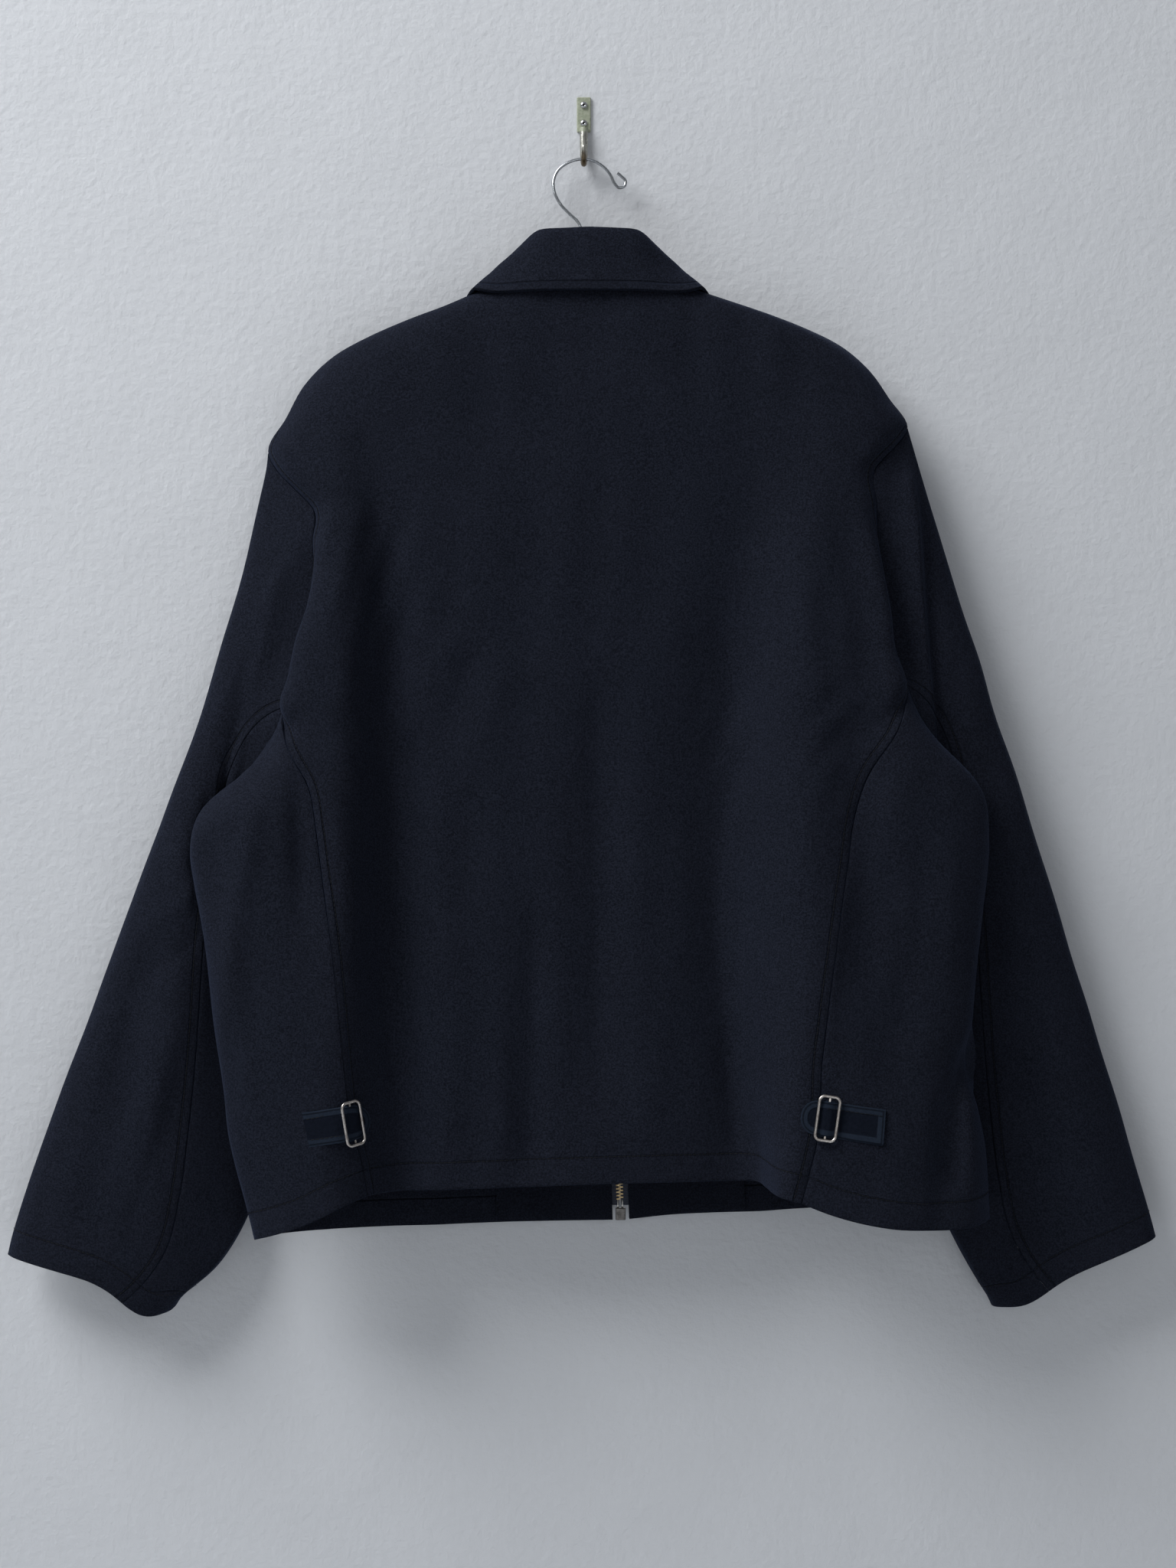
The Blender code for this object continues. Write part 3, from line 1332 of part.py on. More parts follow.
def cylinder(name, drop, radius, start, end):
    """A round bar square to the wall, between two depths."""
    mesh = bmesh.new()
    bmesh.ops.create_cone(
        mesh,
        cap_ends=True,
        segments=SCREW_SIDES,
        radius1=radius * MM,
        radius2=radius * MM,
        depth=(end - start) * MM,
    )
    bmesh.ops.rotate(mesh, verts=mesh.verts[:], matrix=Matrix.Rotation(pi / 2, 3, "X"))
    bmesh.ops.translate(mesh, vec=Vector((0, -(start + end) / 2, -drop)) * MM, verts=mesh.verts[:])
    data = bpy.data.meshes.new(name)
    mesh.to_mesh(data)
    mesh.free()
    thing = bpy.data.objects.new(name, data)
    bpy.context.scene.collection.objects.link(thing)
    return thing


def add_screw(name, drop, material):
    """A round-headed screw, cut off level with the wall."""
    face = PLATE_THICK + LAY_GAP
    rim = face + SCREW_RIM
    profile = [(SCREW_SHANK, 0.2), (SCREW_SHANK, face), (SCREW_HEAD, face), (SCREW_HEAD, rim)]
    profile += [(SCREW_HEAD * cos(turn), rim + SCREW_DOME * sin(turn)) for turn in (0.5, 0.95, 1.3)]
    rings = []
    for radius, depth in profile:
        ring = []
        for k in range(SCREW_SIDES):
            turn = 2 * pi * k / SCREW_SIDES
            ring.append(Vector((radius * cos(turn), -depth, radius * sin(turn) - drop)))
        rings.append(ring)
    add_object(name, ringed_mesh(name, rings), material)


# ---------------------------------------------------------------- building


def build_cloth(wool, facing_wool):
    back = Sheet("back", back_rows())
    sheets = [back]
    fronts = {}
    for side in (LEFT, RIGHT):
        name = SIDE_NAME[side]
        sheets.append(Sheet("side_panel_" + name, side_rows(side), flip=side == LEFT))
        fronts[side] = Sheet("front_" + name, front_rows(side), flip=side == LEFT)
        sheets.append(fronts[side])
    tree = sheet_tree(sheets)
    for side in (LEFT, RIGHT):
        name = SIDE_NAME[side]
        upper, under = sleeve_rows(side)
        sheets.append(Sheet("sleeve_upper_" + name, upper, flip=side == RIGHT))
        sheets.append(Sheet("sleeve_under_" + name, under, flip=side == RIGHT))
    neck = fronts[LEFT].rows[0][::-1] + back.rows[0][1:-1] + fronts[RIGHT].rows[0]
    collar = Sheet("collar", collar_rows(neck, tree), flip=True)
    normals = shared_normals([*sheets, collar])
    for sheet in sheets:
        add_wall(sheet, normals, wool)
    add_wall(collar, normals, wool, COLLAR_CLOTH)
    for side in (LEFT, RIGHT):
        add_facing(side, facing_wool)


def main():
    for thing in list(bpy.data.objects):
        bpy.data.objects.remove(thing)
    wool = principled("navy_wool", (0.014, 0.019, 0.036), 0.95)
    facing_wool = principled("facing_wool", (0.012, 0.015, 0.028), 0.95)
    strap_wool = principled("strap_wool", (0.010, 0.013, 0.026), 0.9)
    tape = principled("zip_tape", (0.020, 0.026, 0.045), 0.85)
    brass = principled("zip_brass", (0.60, 0.45, 0.24), 0.35, 1.0)
    nickel = principled("nickel", (0.72, 0.71, 0.68), 0.25, 1.0)
    wood = principled("hanger_wood", (0.42, 0.28, 0.16), 0.5)
    chrome = principled("chrome_wire", (0.80, 0.80, 0.80), 0.12, 1.0)
    hook_brass = principled("hook_brass", (0.45, 0.45, 0.30), 0.45, 0.6)
    build_cloth(wool, facing_wool)
    for strap in STRAPS:
        add_strap(strap, strap_wool)
        add_buckle(strap, nickel)
    for side in (LEFT, RIGHT):
        add_tape(side, tape)
    add_zip_box(nickel)
    add_slider(brass)
    add_pull(brass)
    add_hanger(wood)
    route = wire_route()
    add_object("hanger_wire", tube_mesh("hanger_wire", route, [WIRE_RADIUS] * len(route), WIRE_SIDES), chrome)
    add_wall_hook(hook_brass)
    for name, drop in zip(("screw_top", "screw_low"), SCREW_DROPS):
        add_screw(name, drop, chrome)


main()
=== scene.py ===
"""Finishes a zip-front wool jacket that hangs, back to the room, on a wire-hooked hanger from a small wall hook."""

from collections import namedtuple
from math import cos, pi, radians, sin, sqrt

import bmesh
import bpy
import numpy as np
from bpy.props import FloatProperty, FloatVectorProperty, PointerProperty
from mathutils import Matrix, Vector
from mathutils.bvhtree import BVHTree
from mathutils.kdtree import KDTree


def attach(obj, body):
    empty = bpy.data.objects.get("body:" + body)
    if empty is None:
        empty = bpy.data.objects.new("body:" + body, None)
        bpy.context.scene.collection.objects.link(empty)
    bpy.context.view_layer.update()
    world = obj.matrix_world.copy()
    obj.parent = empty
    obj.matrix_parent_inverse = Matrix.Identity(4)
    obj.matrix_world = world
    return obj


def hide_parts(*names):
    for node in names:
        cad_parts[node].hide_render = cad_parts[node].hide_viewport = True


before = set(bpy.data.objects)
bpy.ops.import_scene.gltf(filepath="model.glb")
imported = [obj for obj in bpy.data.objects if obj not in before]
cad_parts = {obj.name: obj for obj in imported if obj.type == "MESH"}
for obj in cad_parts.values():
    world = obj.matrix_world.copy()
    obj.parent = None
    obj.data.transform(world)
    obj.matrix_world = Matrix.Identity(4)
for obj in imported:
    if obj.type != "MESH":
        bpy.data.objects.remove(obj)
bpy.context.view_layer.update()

bl_info = {
    "name": "Zip-front wool jacket",
    "version": (1, 0, 0),
    "blender": (4, 5, 0),
    "location": "3D View > Sidebar > Jacket",
    "description": "Cloth, sewing, zip, buckles and hanger of a wool jacket, built on its solids",
    "category": "Add Mesh",
}

MM = 0.001
BODY, TAB = "jacket", "pull_tab"

# ---------------------------------------------------------------- tables, in millimetres

# A panel: its node, the size of its fine cells, its cloth's thickness, the edges that are topstitched beside a seam,
# the edges that are turned up as a hem, and the cut's width and length.
Panel = namedtuple("Panel", "node cell thick seams hems cut")
BODY_PANELS = (
    Panel("back", 3.6, 1.8, ("left", "right"), ("low",), (560, 700)),
    Panel("side_panel_left", 3.6, 1.8, (), ("low",), (150, 390)),
    Panel("side_panel_right", 3.6, 1.8, (), ("low",), (200, 390)),
    Panel("front_left", 4.2, 1.8, ("left",), ("low", "right"), (300, 690)),
    Panel("front_right", 4.2, 1.8, ("right",), ("low", "left"), (300, 690)),
)
FACING_PANELS = (
    Panel("facing_left", 6.0, 1.5, (), (), (120, 690)),
    Panel("facing_right", 6.0, 1.5, (), (), (120, 690)),
)
SLEEVE_PANELS = (
    Panel("sleeve_upper_left", 2.9, 1.8, ("seam",), ("low",), (330, 640)),
    Panel("sleeve_upper_right", 2.9, 1.8, ("seam",), ("low",), (330, 640)),
    Panel("sleeve_under_left", 3.6, 1.8, (), ("low",), (220, 500)),
    Panel("sleeve_under_right", 3.6, 1.8, (), ("low",), (220, 500)),
)
SEAM_STITCH = 6.2  # from a seam to the row of stitches beside it
HEM_STITCH = 19.5
ZIP_STITCH = 14.5
COLLAR_STITCH = 6.5
STITCH_SINK = 0.1  # the share of its radius by which a thread lies under the nap
SEAMS_START = 238.0  # seams are topstitched below the point of the shoulder
OUTER_EDGE = 150  # an edge that reaches farther than this from the middle is a side seam or an armhole

# A crease runs along a path of (x, drop) points. Its reach is how far it spreads to the left and to the right of the
# path, and a positive rise stands towards the room. Heads and tails fade over their own lengths.
Crease = namedtuple("Crease", "path left right rise head tail")
BACK_CREASES = (
    Crease(((-226, 476), (-238, 545), (-249, 602), (-257, 660), (-262, 730)), 14, 8, 2.4, 50, 90),
    Crease(((-207, 470), (-203, 540), (-202, 620)), 6, 9, -2.8, 50, 80),
    Crease(((-196, 425), (-236, 452), (-262, 500)), 10, 12, 1.8, 30, 40),
    Crease(((-190, 440), (-224, 470), (-246, 520)), 7, 8, -1.6, 30, 60),
    Crease(((-246, 590), (-238, 640), (-232, 700)), 8, 10, -1.6, 40, 60),
    Crease(((-250, 660), (-241, 690), (-236, 740)), 7, 8, 1.4, 30, 40),
    Crease(((-60, 380), (-95, 440), (-112, 520)), 9, 12, -1.2, 40, 70),
    Crease(((-82, 372), (-116, 430), (-128, 500)), 9, 11, 1.0, 40, 60),
    Crease(((-40, 400), (-76, 460), (-92, 560)), 10, 12, 1.0, 40, 80),
    Crease(((-110, 190), (-60, 250), (-20, 300)), 26, 30, -1.8, 60, 80),
    Crease(((-12, 180), (60, 230), (118, 320)), 26, 28, 1.9, 60, 90),
    Crease(((30, 170), (96, 215), (150, 290)), 20, 26, -1.5, 50, 80),
    Crease(((128, 300), (124, 360), (110, 430)), 14, 18, 1.6, 60, 80),
    Crease(((190, 330), (186, 400), (196, 470)), 12, 12, 1.8, 60, 60),
    Crease(((226, 470), (215, 540), (214, 620), (224, 700)), 10, 12, 1.8, 60, 80),
    Crease(((243, 500), (239, 580), (240, 660)), 9, 11, -1.8, 60, 80),
    Crease(((262, 520), (262, 600), (256, 690)), 8, 10, 1.5, 50, 80),
    Crease(((281, 664), (272, 705), (265, 745), (262, 790)), 12, 6, -5.0, 36, 24),
    Crease(((248, 690), (242, 745), (240, 812)), 10, 9, 2.2, 40, 10),
    Crease(((-37, 560), (-37, 680), (-40, 782)), 7, 11, -1.2, 60, 30),
    Crease(((-56, 600), (-58, 700), (-56, 780)), 10, 9, 0.9, 60, 40),
    Crease(((10, 385), (9, 560), (12, 755)), 8, 12, -1.3, 80, 60),
    Crease(((34, 460), (38, 620), (40, 770)), 12, 14, 1.2, 90, 60),
    Crease(((70, 480), (72, 600), (84, 760)), 12, 16, 1.0, 90, 60),
    Crease(((-96, 560), (-98, 660), (-92, 775)), 12, 12, 1.1, 80, 40),
    Crease(((96, 560), (100, 660), (112, 770)), 7, 9, -1.6, 80, 30),
    Crease(((-160, 250), (-158, 330), (-162, 420)), 18, 20, 1.5, 60, 80),
    Crease(((-176, 640), (-180, 700), (-186, 780)), 12, 12, 1.2, 60, 30),
)
FRONT_CREASES = (
    Crease(((-170, 300), (-130, 380), (-110, 480)), 16, 18, 2.2, 60, 90),
    Crease(((-200, 380), (-168, 460), (-150, 560)), 12, 14, -1.8, 50, 80),
    Crease(((-90, 470), (-84, 600), (-78, 780)), 12, 14, 1.6, 80, 50),
    Crease(((-150, 520), (-146, 640), (-140, 790)), 12, 14, -1.8, 80, 40),
    Crease(((-40, 420), (-48, 560), (-52, 700)), 12, 12, -1.0, 80, 90),
    Crease(((180, 290), (140, 380), (116, 480)), 18, 16, 2.2, 60, 90),
    Crease(((214, 380), (184, 460), (168, 560)), 14, 12, -1.8, 50, 80),
    Crease(((104, 470), (106, 600), (110, 780)), 14, 12, 1.6, 80, 50),
    Crease(((168, 520), (172, 640), (184, 790)), 14, 12, -1.8, 80, 40),
    Crease(((60, 420), (70, 560), (80, 700)), 12, 12, -1.0, 80, 90),
    Crease(((-230, 560), (-222, 680), (-212, 800)), 10, 12, 1.4, 60, 40),
    Crease(((250, 560), (250, 680), (256, 790)), 12, 10, 1.4, 60, 40),
)
LEFT_SLEEVE_CREASES = (
    Crease(((-214, 320), (-238, 420), (-258, 520), (-282, 640)), 8, 12, 2.4, 60, 120),
    Crease(((-232, 400), (-268, 520), (-300, 640)), 10, 10, -1.6, 70, 120),
    Crease(((-272, 560), (-300, 590), (-334, 604)), 8, 10, 1.1, 24, 40),
    Crease(((-270, 592), (-300, 624), (-340, 640)), 8, 10, -1.2, 24, 50),
    Crease(((-286, 700), (-316, 780), (-334, 850)), 9, 12, -1.6, 70, 30),
    Crease(((-330, 640), (-358, 740), (-384, 830)), 12, 14, 1.2, 80, 50),
    Crease(((-280, 640), (-304, 700), (-318, 780)), 10, 10, 1.6, 60, 60),
)
RIGHT_SLEEVE_CREASES = (
    Crease(((234, 258), (241, 304), (247, 382), (252, 452), (256, 540)), 11, 2.6, 4.4, 24, 130),
    Crease(((243, 290), (250, 382), (256, 452), (262, 530)), 2.6, 9, -1.6, 40, 110),
    Crease(((276, 540), (304, 572), (338, 590)), 8, 10, 1.1, 24, 40),
    Crease(((278, 575), (306, 606), (342, 622)), 8, 10, -1.2, 24, 50),
    Crease(((292, 680), (318, 760), (336, 840)), 12, 9, -1.5, 70, 30),
    Crease(((330, 640), (356, 730), (380, 820)), 14, 12, 1.2, 80, 50),
    Crease(((286, 610), (300, 690), (318, 780)), 10, 10, 1.4, 60, 60),
)

# Lines of (x, drop) that the cloth is drawn in to, each with the side that is drawn (1 is right of a line that runs
# down) and the lengths over which it takes hold at its two ends.
Limit = namedtuple("Limit", "path side head tail")
LIMITS = {
    "sleeve_upper_left": (Limit(((-236, 770), (-243, 804), (-268, 846), (-293, 868), (-306, 886)), 1, 40, 16),),
    "sleeve_upper_right": (Limit(((252, 768), (262, 804), (283, 846), (299, 874), (306, 884)), -1, 40, 16),),
    "collar": (
        Limit(((-26, 86), (-43, 101), (-62, 120), (-82, 141), (-84, 158)), -1, 14, 12),
        Limit(((32, 86), (49, 101), (69, 121), (89, 141), (91, 158)), 1, 14, 12),
    ),
}
LIMITS["sleeve_under_left"] = LIMITS["sleeve_upper_left"]
LIMITS["sleeve_under_right"] = LIMITS["sleeve_upper_right"]
DRAWN_AT_MOST = 16.0
DRAWN_SHARE = 0.85

# Where the creases take hold by depth from the wall, as the depth at which they start and the depth over which they
# grow: on a sleeve's back, on the body's back, and, towards the wall, on the fronts.
SLEEVE_BACK = (22, 14)
BODY_BACK = (36, 16)
BODY_FRONT = (32, 14)
EDGE_ROOM = 14  # the cloth beside an edge moves straight out over this width
RELIEF_WAVES = 14
SLEEVE_RELIEF = (5, 42.0, 0.32)  # seed, size of the waves and height
BODY_RELIEF = (3, 46.0, 0.30)

# A strap runs from its sewn end to its round tip, each as (x, drop), through a buckle part of the way along.
Strap = namedtuple("Strap", "name sewn tip buckle slant")
STRAPS = (
    Strap("left", (-198, 741), (-152, 734), 0.70, 2.8),
    Strap("right", (213, 738), (153, 729), 0.69, -2.5),
)
STRAP_WIDTH = 25.0
STRAP_CLOTH = 1.6
STRAP_BORDER = 5.0
STRAP_STITCH = 1.6
STRAP_CELLS = (25, 56)
BUCKLE = (16.6, 33.8, 3.2, 1.1, 0.8)  # width, length, corner, half the wire's thickness, bow of the short ends

# The hanger's wire from the bar up to its free eye, as (x, drop), and its depth at its top and at the bar.
WIRE_ROWS = (
    (3.4, 137.4), (3.2, 118), (1.5, 102), (-1.2, 89.5), (-4.5, 82.5), (-10.5, 76.5), (-17.5, 68.5), (-21.5, 60),
    (-22.4, 52), (-19.5, 44), (-12.5, 38), (-4.5, 35.3), (4.5, 35.5), (13, 39.5), (19.5, 46.5), (22.6, 53),
    (25.8, 56.4), (29.9, 55.2), (30.8, 51.4), (27.8, 47.9), (24.9, 45.4),
)
WIRE_DEPTHS = (12.0, 29.0)
WIRE_RADIUS = 1.15
SCREW_DROPS = (-7.0, 6.5)

TOOTH = (1.15, 2.9, 1.7)  # along the zip, across it and deep
TOOTH_PITCH = 2.5
TOOTH_ASIDE = 1.15  # from the zip's line to a tooth's middle
PIN_ASIDE = 1.7
TEETH_RISE = 0.4  # how far the teeth's middle lies behind the tape's room side
ZIP_RUN = (239.0, 801.5)  # drops of the first and the last tooth
ZIP_START = (3.5, 222.0)  # a point of the zip's line, as (x, drop)
ZIP_SLOPE = 24.0 / 600.0
TAPE_WIDTH = 14.0
TAPE_EDGE = 0.8
TAPE_CLOTH = 0.8
TAPE_RUN = (232.0, 806.0)
TAPE_CELLS = (130, 8)
PIN = (6.4, 0.75)  # length and radius of the pins above the box
PIN_DROP = 805.0

TOUCHING = 0.00001  # points nearer than this, in metres, are one
FRONT_CELLS = (48, 16)
FLOOR = -1.45
STAGE_REACH = 6.0
LENS, SENSOR = 70.0, 36.0
CAMERA = (0.0031, -2.260, -0.4957)


# ---------------------------------------------------------------- settings


class JacketCloth(bpy.types.PropertyGroup):
    """The wool of the panels, the collar and the straps"""

    wool: FloatVectorProperty(
        name="Wool", description="Colour of the melton wool", subtype="COLOR", default=(0.0098, 0.0116, 0.0183)
    )
    bloom: FloatVectorProperty(
        name="Nap", description="Colour of the raised nap's sheen", subtype="COLOR", default=(0.30, 0.42, 0.80)
    )
    crease: FloatProperty(name="Creases", description="Share of the creases' full height", default=1.35, min=0.0)
    nap: FloatProperty(name="Nap height", description="How deep the nap's relief is", default=0.0006, unit="LENGTH")


class JacketTrim(bpy.types.PropertyGroup):
    """The topstitching's thread"""

    thread: FloatVectorProperty(
        name="Thread", description="Colour of the sewing thread", subtype="COLOR", default=(0.0024, 0.0031, 0.0052)
    )
    stitch: FloatProperty(name="Stitch", description="Length of one stitch", default=0.0026, unit="LENGTH")
    pitch: FloatProperty(name="Pitch", description="From one stitch to the next", default=0.0034, unit="LENGTH")
    thread_radius: FloatProperty(name="Thread radius", description="Half its width", default=0.00034, unit="LENGTH")


class JacketStudio(bpy.types.PropertyGroup):
    """The wall and the light around the jacket"""

    wall: FloatVectorProperty(name="Wall", description="Wall paint", subtype="COLOR", default=(0.585, 0.602, 0.626))
    key: FloatProperty(name="Key light", description="Power of the soft key light", default=138.0, unit="POWER")
    fill: FloatProperty(name="Sky", description="Strength of the even light", default=0.23)


# ---------------------------------------------------------------- materials


class Finish:
    """A material in the making: a Principled shader and the pattern nodes that feed it."""

    def __init__(self, name, roughness, metallic=0.0):
        self.material = bpy.data.materials.new(name)
        self.material.use_nodes = True
        self.tree = self.material.node_tree
        self.shader = self.tree.nodes["Principled BSDF"]
        self.shader.inputs["Roughness"].default_value = roughness
        self.shader.inputs["Metallic"].default_value = metallic
        self.object_place = self.node("ShaderNodeTexCoord").outputs["Object"]
        self.relief = None

    def node(self, kind, **fields):
        made = self.tree.nodes.new(kind)
        for name, value in fields.items():
            setattr(made, name, value)
        return made

    def feed(self, socket, value):
        if isinstance(value, bpy.types.NodeSocket):
            self.tree.links.new(value, socket)
        else:
            socket.default_value = value

    def noise(self, scale, detail=2.0, rough=0.5, place=None):
        made = self.node("ShaderNodeTexNoise")
        self.feed(made.inputs["Vector"], place or self.object_place)
        made.inputs["Scale"].default_value = scale
        made.inputs["Detail"].default_value = detail
        made.inputs["Roughness"].default_value = rough
        return made.outputs["Fac"]

    def place_split(self):
        made = self.node("ShaderNodeSeparateXYZ")
        self.feed(made.inputs["Vector"], self.object_place)
        return made

    def apart(self, value, place):
        return self.math("ABSOLUTE", self.math("SUBTRACT", value, place))

    def stretched(self, scale):
        made = self.node("ShaderNodeMapping")
        self.feed(made.inputs["Vector"], self.object_place)
        made.inputs["Scale"].default_value = scale
        return made.outputs["Vector"]

    def math(self, operation, first, second=0.5):
        made = self.node("ShaderNodeMath", operation=operation)
        self.feed(made.inputs[0], first)
        self.feed(made.inputs[1], second)
        return made.outputs["Value"]

    def spread(self, value, low, high, to_low=0.0, to_high=1.0):
        made = self.node("ShaderNodeMapRange", interpolation_type="SMOOTHSTEP")
        self.feed(made.inputs["Value"], value)
        for name, number in (("From Min", low), ("From Max", high), ("To Min", to_low), ("To Max", to_high)):
            made.inputs[name].default_value = number
        return made.outputs["Result"]

    def attribute(self, name):
        return self.node("ShaderNodeAttribute", attribute_name=name).outputs["Fac"]

    def blend(self, share, first, second):
        made = self.node("ShaderNodeMix", data_type="RGBA")
        self.feed(made.inputs["Factor"], share)
        for socket, colour in ((made.inputs[6], first), (made.inputs[7], second)):
            self.feed(socket, colour if isinstance(colour, bpy.types.NodeSocket) else (*colour, 1.0))
        return made.outputs[2]

    def colour(self, value):
        self.feed(self.shader.inputs["Base Color"], value)

    def bump(self, height, distance, strength=1.0):
        made = self.node("ShaderNodeBump")
        made.inputs["Distance"].default_value = distance
        made.inputs["Strength"].default_value = strength
        self.feed(made.inputs["Height"], height)
        if self.relief is not None:
            self.feed(made.inputs["Normal"], self.relief)
        self.relief = made.outputs["Normal"]
        self.feed(self.shader.inputs["Normal"], self.relief)

    def sheen(self, weight, roughness, tint):
        self.shader.inputs["Sheen Weight"].default_value = weight
        self.shader.inputs["Sheen Roughness"].default_value = roughness
        self.shader.inputs["Sheen Tint"].default_value = (*tint, 1.0)


def toned(colour, share):
    """A colour made darker or paler by a share."""
    return tuple(channel * share for channel in colour)


def wool_finish(name, share=1.0, sheen=0.075):
    """Felted wool: a soft nap in clumps, stray paler hairs, the low relief of the sewing beside its edges, and painted
    shade in its grooves and along its seams.
    """
    cloth = bpy.context.scene.jacket_cloth
    base = toned(cloth.wool, share)
    made = Finish(name, 0.95)
    made.shader.inputs["Specular IOR Level"].default_value = 0.04
    clumps = made.noise(820.0, 3.0, 0.7)
    hairs = made.noise(1500.0, 2.0, 0.6, made.stretched((1.0, 1.0, 0.45)))
    mottle = made.noise(22.0, 3.0)
    ground = made.blend(made.spread(mottle, 0.3, 0.7), toned(base, 0.88), toned(base, 1.12))
    napped = made.blend(made.spread(clumps, 0.38, 0.64), toned(base, 0.35), toned(base, 1.7))
    mixed = made.blend(0.62, ground, napped)
    stray = made.spread(hairs, 0.62, 0.78, 0.0, 0.6)
    pale = tuple(glow + channel for glow, channel in zip((0.005, 0.008, 0.015), toned(base, 1.8)))
    seam = made.attribute("seam")
    hem = made.attribute("hem")
    # Painted shade: the colour darkens in the stitch and hem grooves and right along the seams; the grooves also sink
    # in the bump below.
    groove_relief_and_painted_shade = made.math(
        "MAXIMUM",
        made.spread(made.apart(seam, SEAM_STITCH), 0.3, 1.2, 1.0, 0.0),
        made.spread(made.apart(hem, HEM_STITCH), 0.2, 0.9, 0.7, 0.0),
    )
    seam_line_painted_shade = made.math("MULTIPLY", made.spread(seam, 1.5, 0.3), made.spread(seam, 0.0, 0.02))
    shade = made.math("MULTIPLY", made.math("MAXIMUM", groove_relief_and_painted_shade, seam_line_painted_shade), 0.5)
    made.colour(made.blend(shade, made.blend(stray, mixed, pale), toned(base, 0.3)))
    made.sheen(sheen, 0.4, cloth.bloom)
    raised = made.math(
        "MAXIMUM",
        made.math("MULTIPLY", made.spread(seam, SEAM_STITCH + 0.9, SEAM_STITCH - 1.2), made.spread(seam, 0.0, 0.9)),
        made.math("MULTIPLY", made.spread(hem, HEM_STITCH + 0.9, HEM_STITCH - 1.2), made.spread(hem, 0.0, 0.6)),
    )
    made.bump(made.math("SUBTRACT", raised, groove_relief_and_painted_shade), 0.0009)
    made.bump(clumps, cloth.nap, 1.0)
    made.bump(hairs, cloth.nap * 0.4, 0.8)
    return made.material


def thread_finish(name):
    """Dark sewing thread with fine strands."""
    made = Finish(name, 0.7)
    thread = tuple(bpy.context.scene.jacket_trim.thread)
    strands = made.noise(2600.0, 1.0)
    made.colour(made.blend(strands, toned(thread, 0.7), toned(thread, 1.5)))
    made.bump(strands, 0.0001)
    made.shader.inputs["Specular IOR Level"].default_value = 0.2
    return made.material


def tape_finish(name):
    """Woven zip tape: fine ribs across a slow change of tone."""
    made = Finish(name, 0.78)
    ribs = made.node("ShaderNodeTexWave", wave_type="BANDS", bands_direction="Z")
    made.feed(ribs.inputs["Vector"], made.object_place)
    ribs.inputs["Scale"].default_value = 330.0
    ribs.inputs["Distortion"].default_value = 1.2
    weave = ribs.outputs["Fac"]
    mottle = made.noise(240.0, 2.0)
    base = (0.020, 0.025, 0.042)
    made.colour(made.blend(made.math("MULTIPLY", weave, mottle), toned(base, 0.7), toned(base, 1.5)))
    made.bump(weave, 0.0002, 0.8)
    made.sheen(0.15, 0.4, (0.6, 0.68, 0.9))
    return made.material


def metal_finish(name, base, worn, roughness, scale=260.0):
    """Plated metal with fine scratches and a slow change of tone."""
    made = Finish(name, roughness, 1.0)
    patches = made.noise(scale, 4.0, 0.65)
    scratches = made.noise(900.0, 2.0, 0.5, made.stretched((1.0, 1.0, 0.12)))
    made.colour(made.blend(made.spread(patches, 0.4, 0.72), base, worn))
    made.feed(made.shader.inputs["Roughness"], made.spread(patches, 0.3, 0.75, roughness, roughness + 0.18))
    made.bump(scratches, 0.00004, 0.5)
    return made.material


def wood_finish(name):
    """Varnished beech: long pores along X under a clear coat."""
    made = Finish(name, 0.42)
    grain = made.noise(90.0, 6.0, 0.62, made.stretched((0.12, 1.0, 1.0)))
    pores = made.noise(620.0, 2.0, 0.5, made.stretched((0.06, 1.0, 1.0)))
    tone = made.blend(made.spread(grain, 0.32, 0.68), (0.30, 0.17, 0.085), (0.52, 0.34, 0.19))
    made.colour(made.blend(made.spread(pores, 0.62, 0.74, 0.0, 0.6), tone, (0.16, 0.085, 0.04)))
    made.bump(grain, 0.0003, 0.35)
    made.shader.inputs["Coat Weight"].default_value = 0.35
    made.shader.inputs["Coat Roughness"].default_value = 0.2
    return made.material


def paint_finish(name):
    """Old khaki paint on the hook's plate that gives way to bare, browned metal towards the tip."""
    made = Finish(name, 0.42)
    split = made.place_split()
    patches = made.noise(420.0, 4.0, 0.6)
    height = made.math("ADD", split.outputs["Z"], made.math("MULTIPLY", patches, 0.006))
    plated = made.spread(height, -0.0095, -0.0110)
    browned = made.spread(height, -0.0235, -0.0330)
    paint = made.blend(made.spread(patches, 0.35, 0.7), (0.26, 0.29, 0.21), (0.36, 0.38, 0.29))
    bare = made.blend(browned, (0.40, 0.40, 0.36), (0.14, 0.105, 0.065))
    made.colour(made.blend(plated, paint, bare))
    made.feed(made.shader.inputs["Metallic"], made.math("MULTIPLY", plated, 0.95))
    made.feed(made.shader.inputs["Roughness"], made.spread(patches, 0.3, 0.8, 0.26, 0.5))
    made.bump(patches, 0.0002, 0.5)
    return made.material


def screw_finish(name):
    """Bright plated screw heads with a recess in the middle of each, coloured near-black as painted shade."""
    made = Finish(name, 0.22, 1.0)
    split = made.place_split()
    near = made.math("MINIMUM", *(made.apart(split.outputs["Z"], drop * -MM) for drop in SCREW_DROPS))
    square = made.math("ADD", made.math("POWER", near, 2.0), made.math("POWER", split.outputs["X"], 2.0))
    recess_and_painted_shade = made.spread(made.math("SQRT", square), 0.0007, 0.0012, 1.0, 0.0)
    # Painted shade: the recess is coloured near-black; it also sinks in the bump.
    made.colour(made.blend(recess_and_painted_shade, (0.52, 0.53, 0.54), (0.03, 0.03, 0.03)))
    made.bump(recess_and_painted_shade, -0.0006)
    return made.material


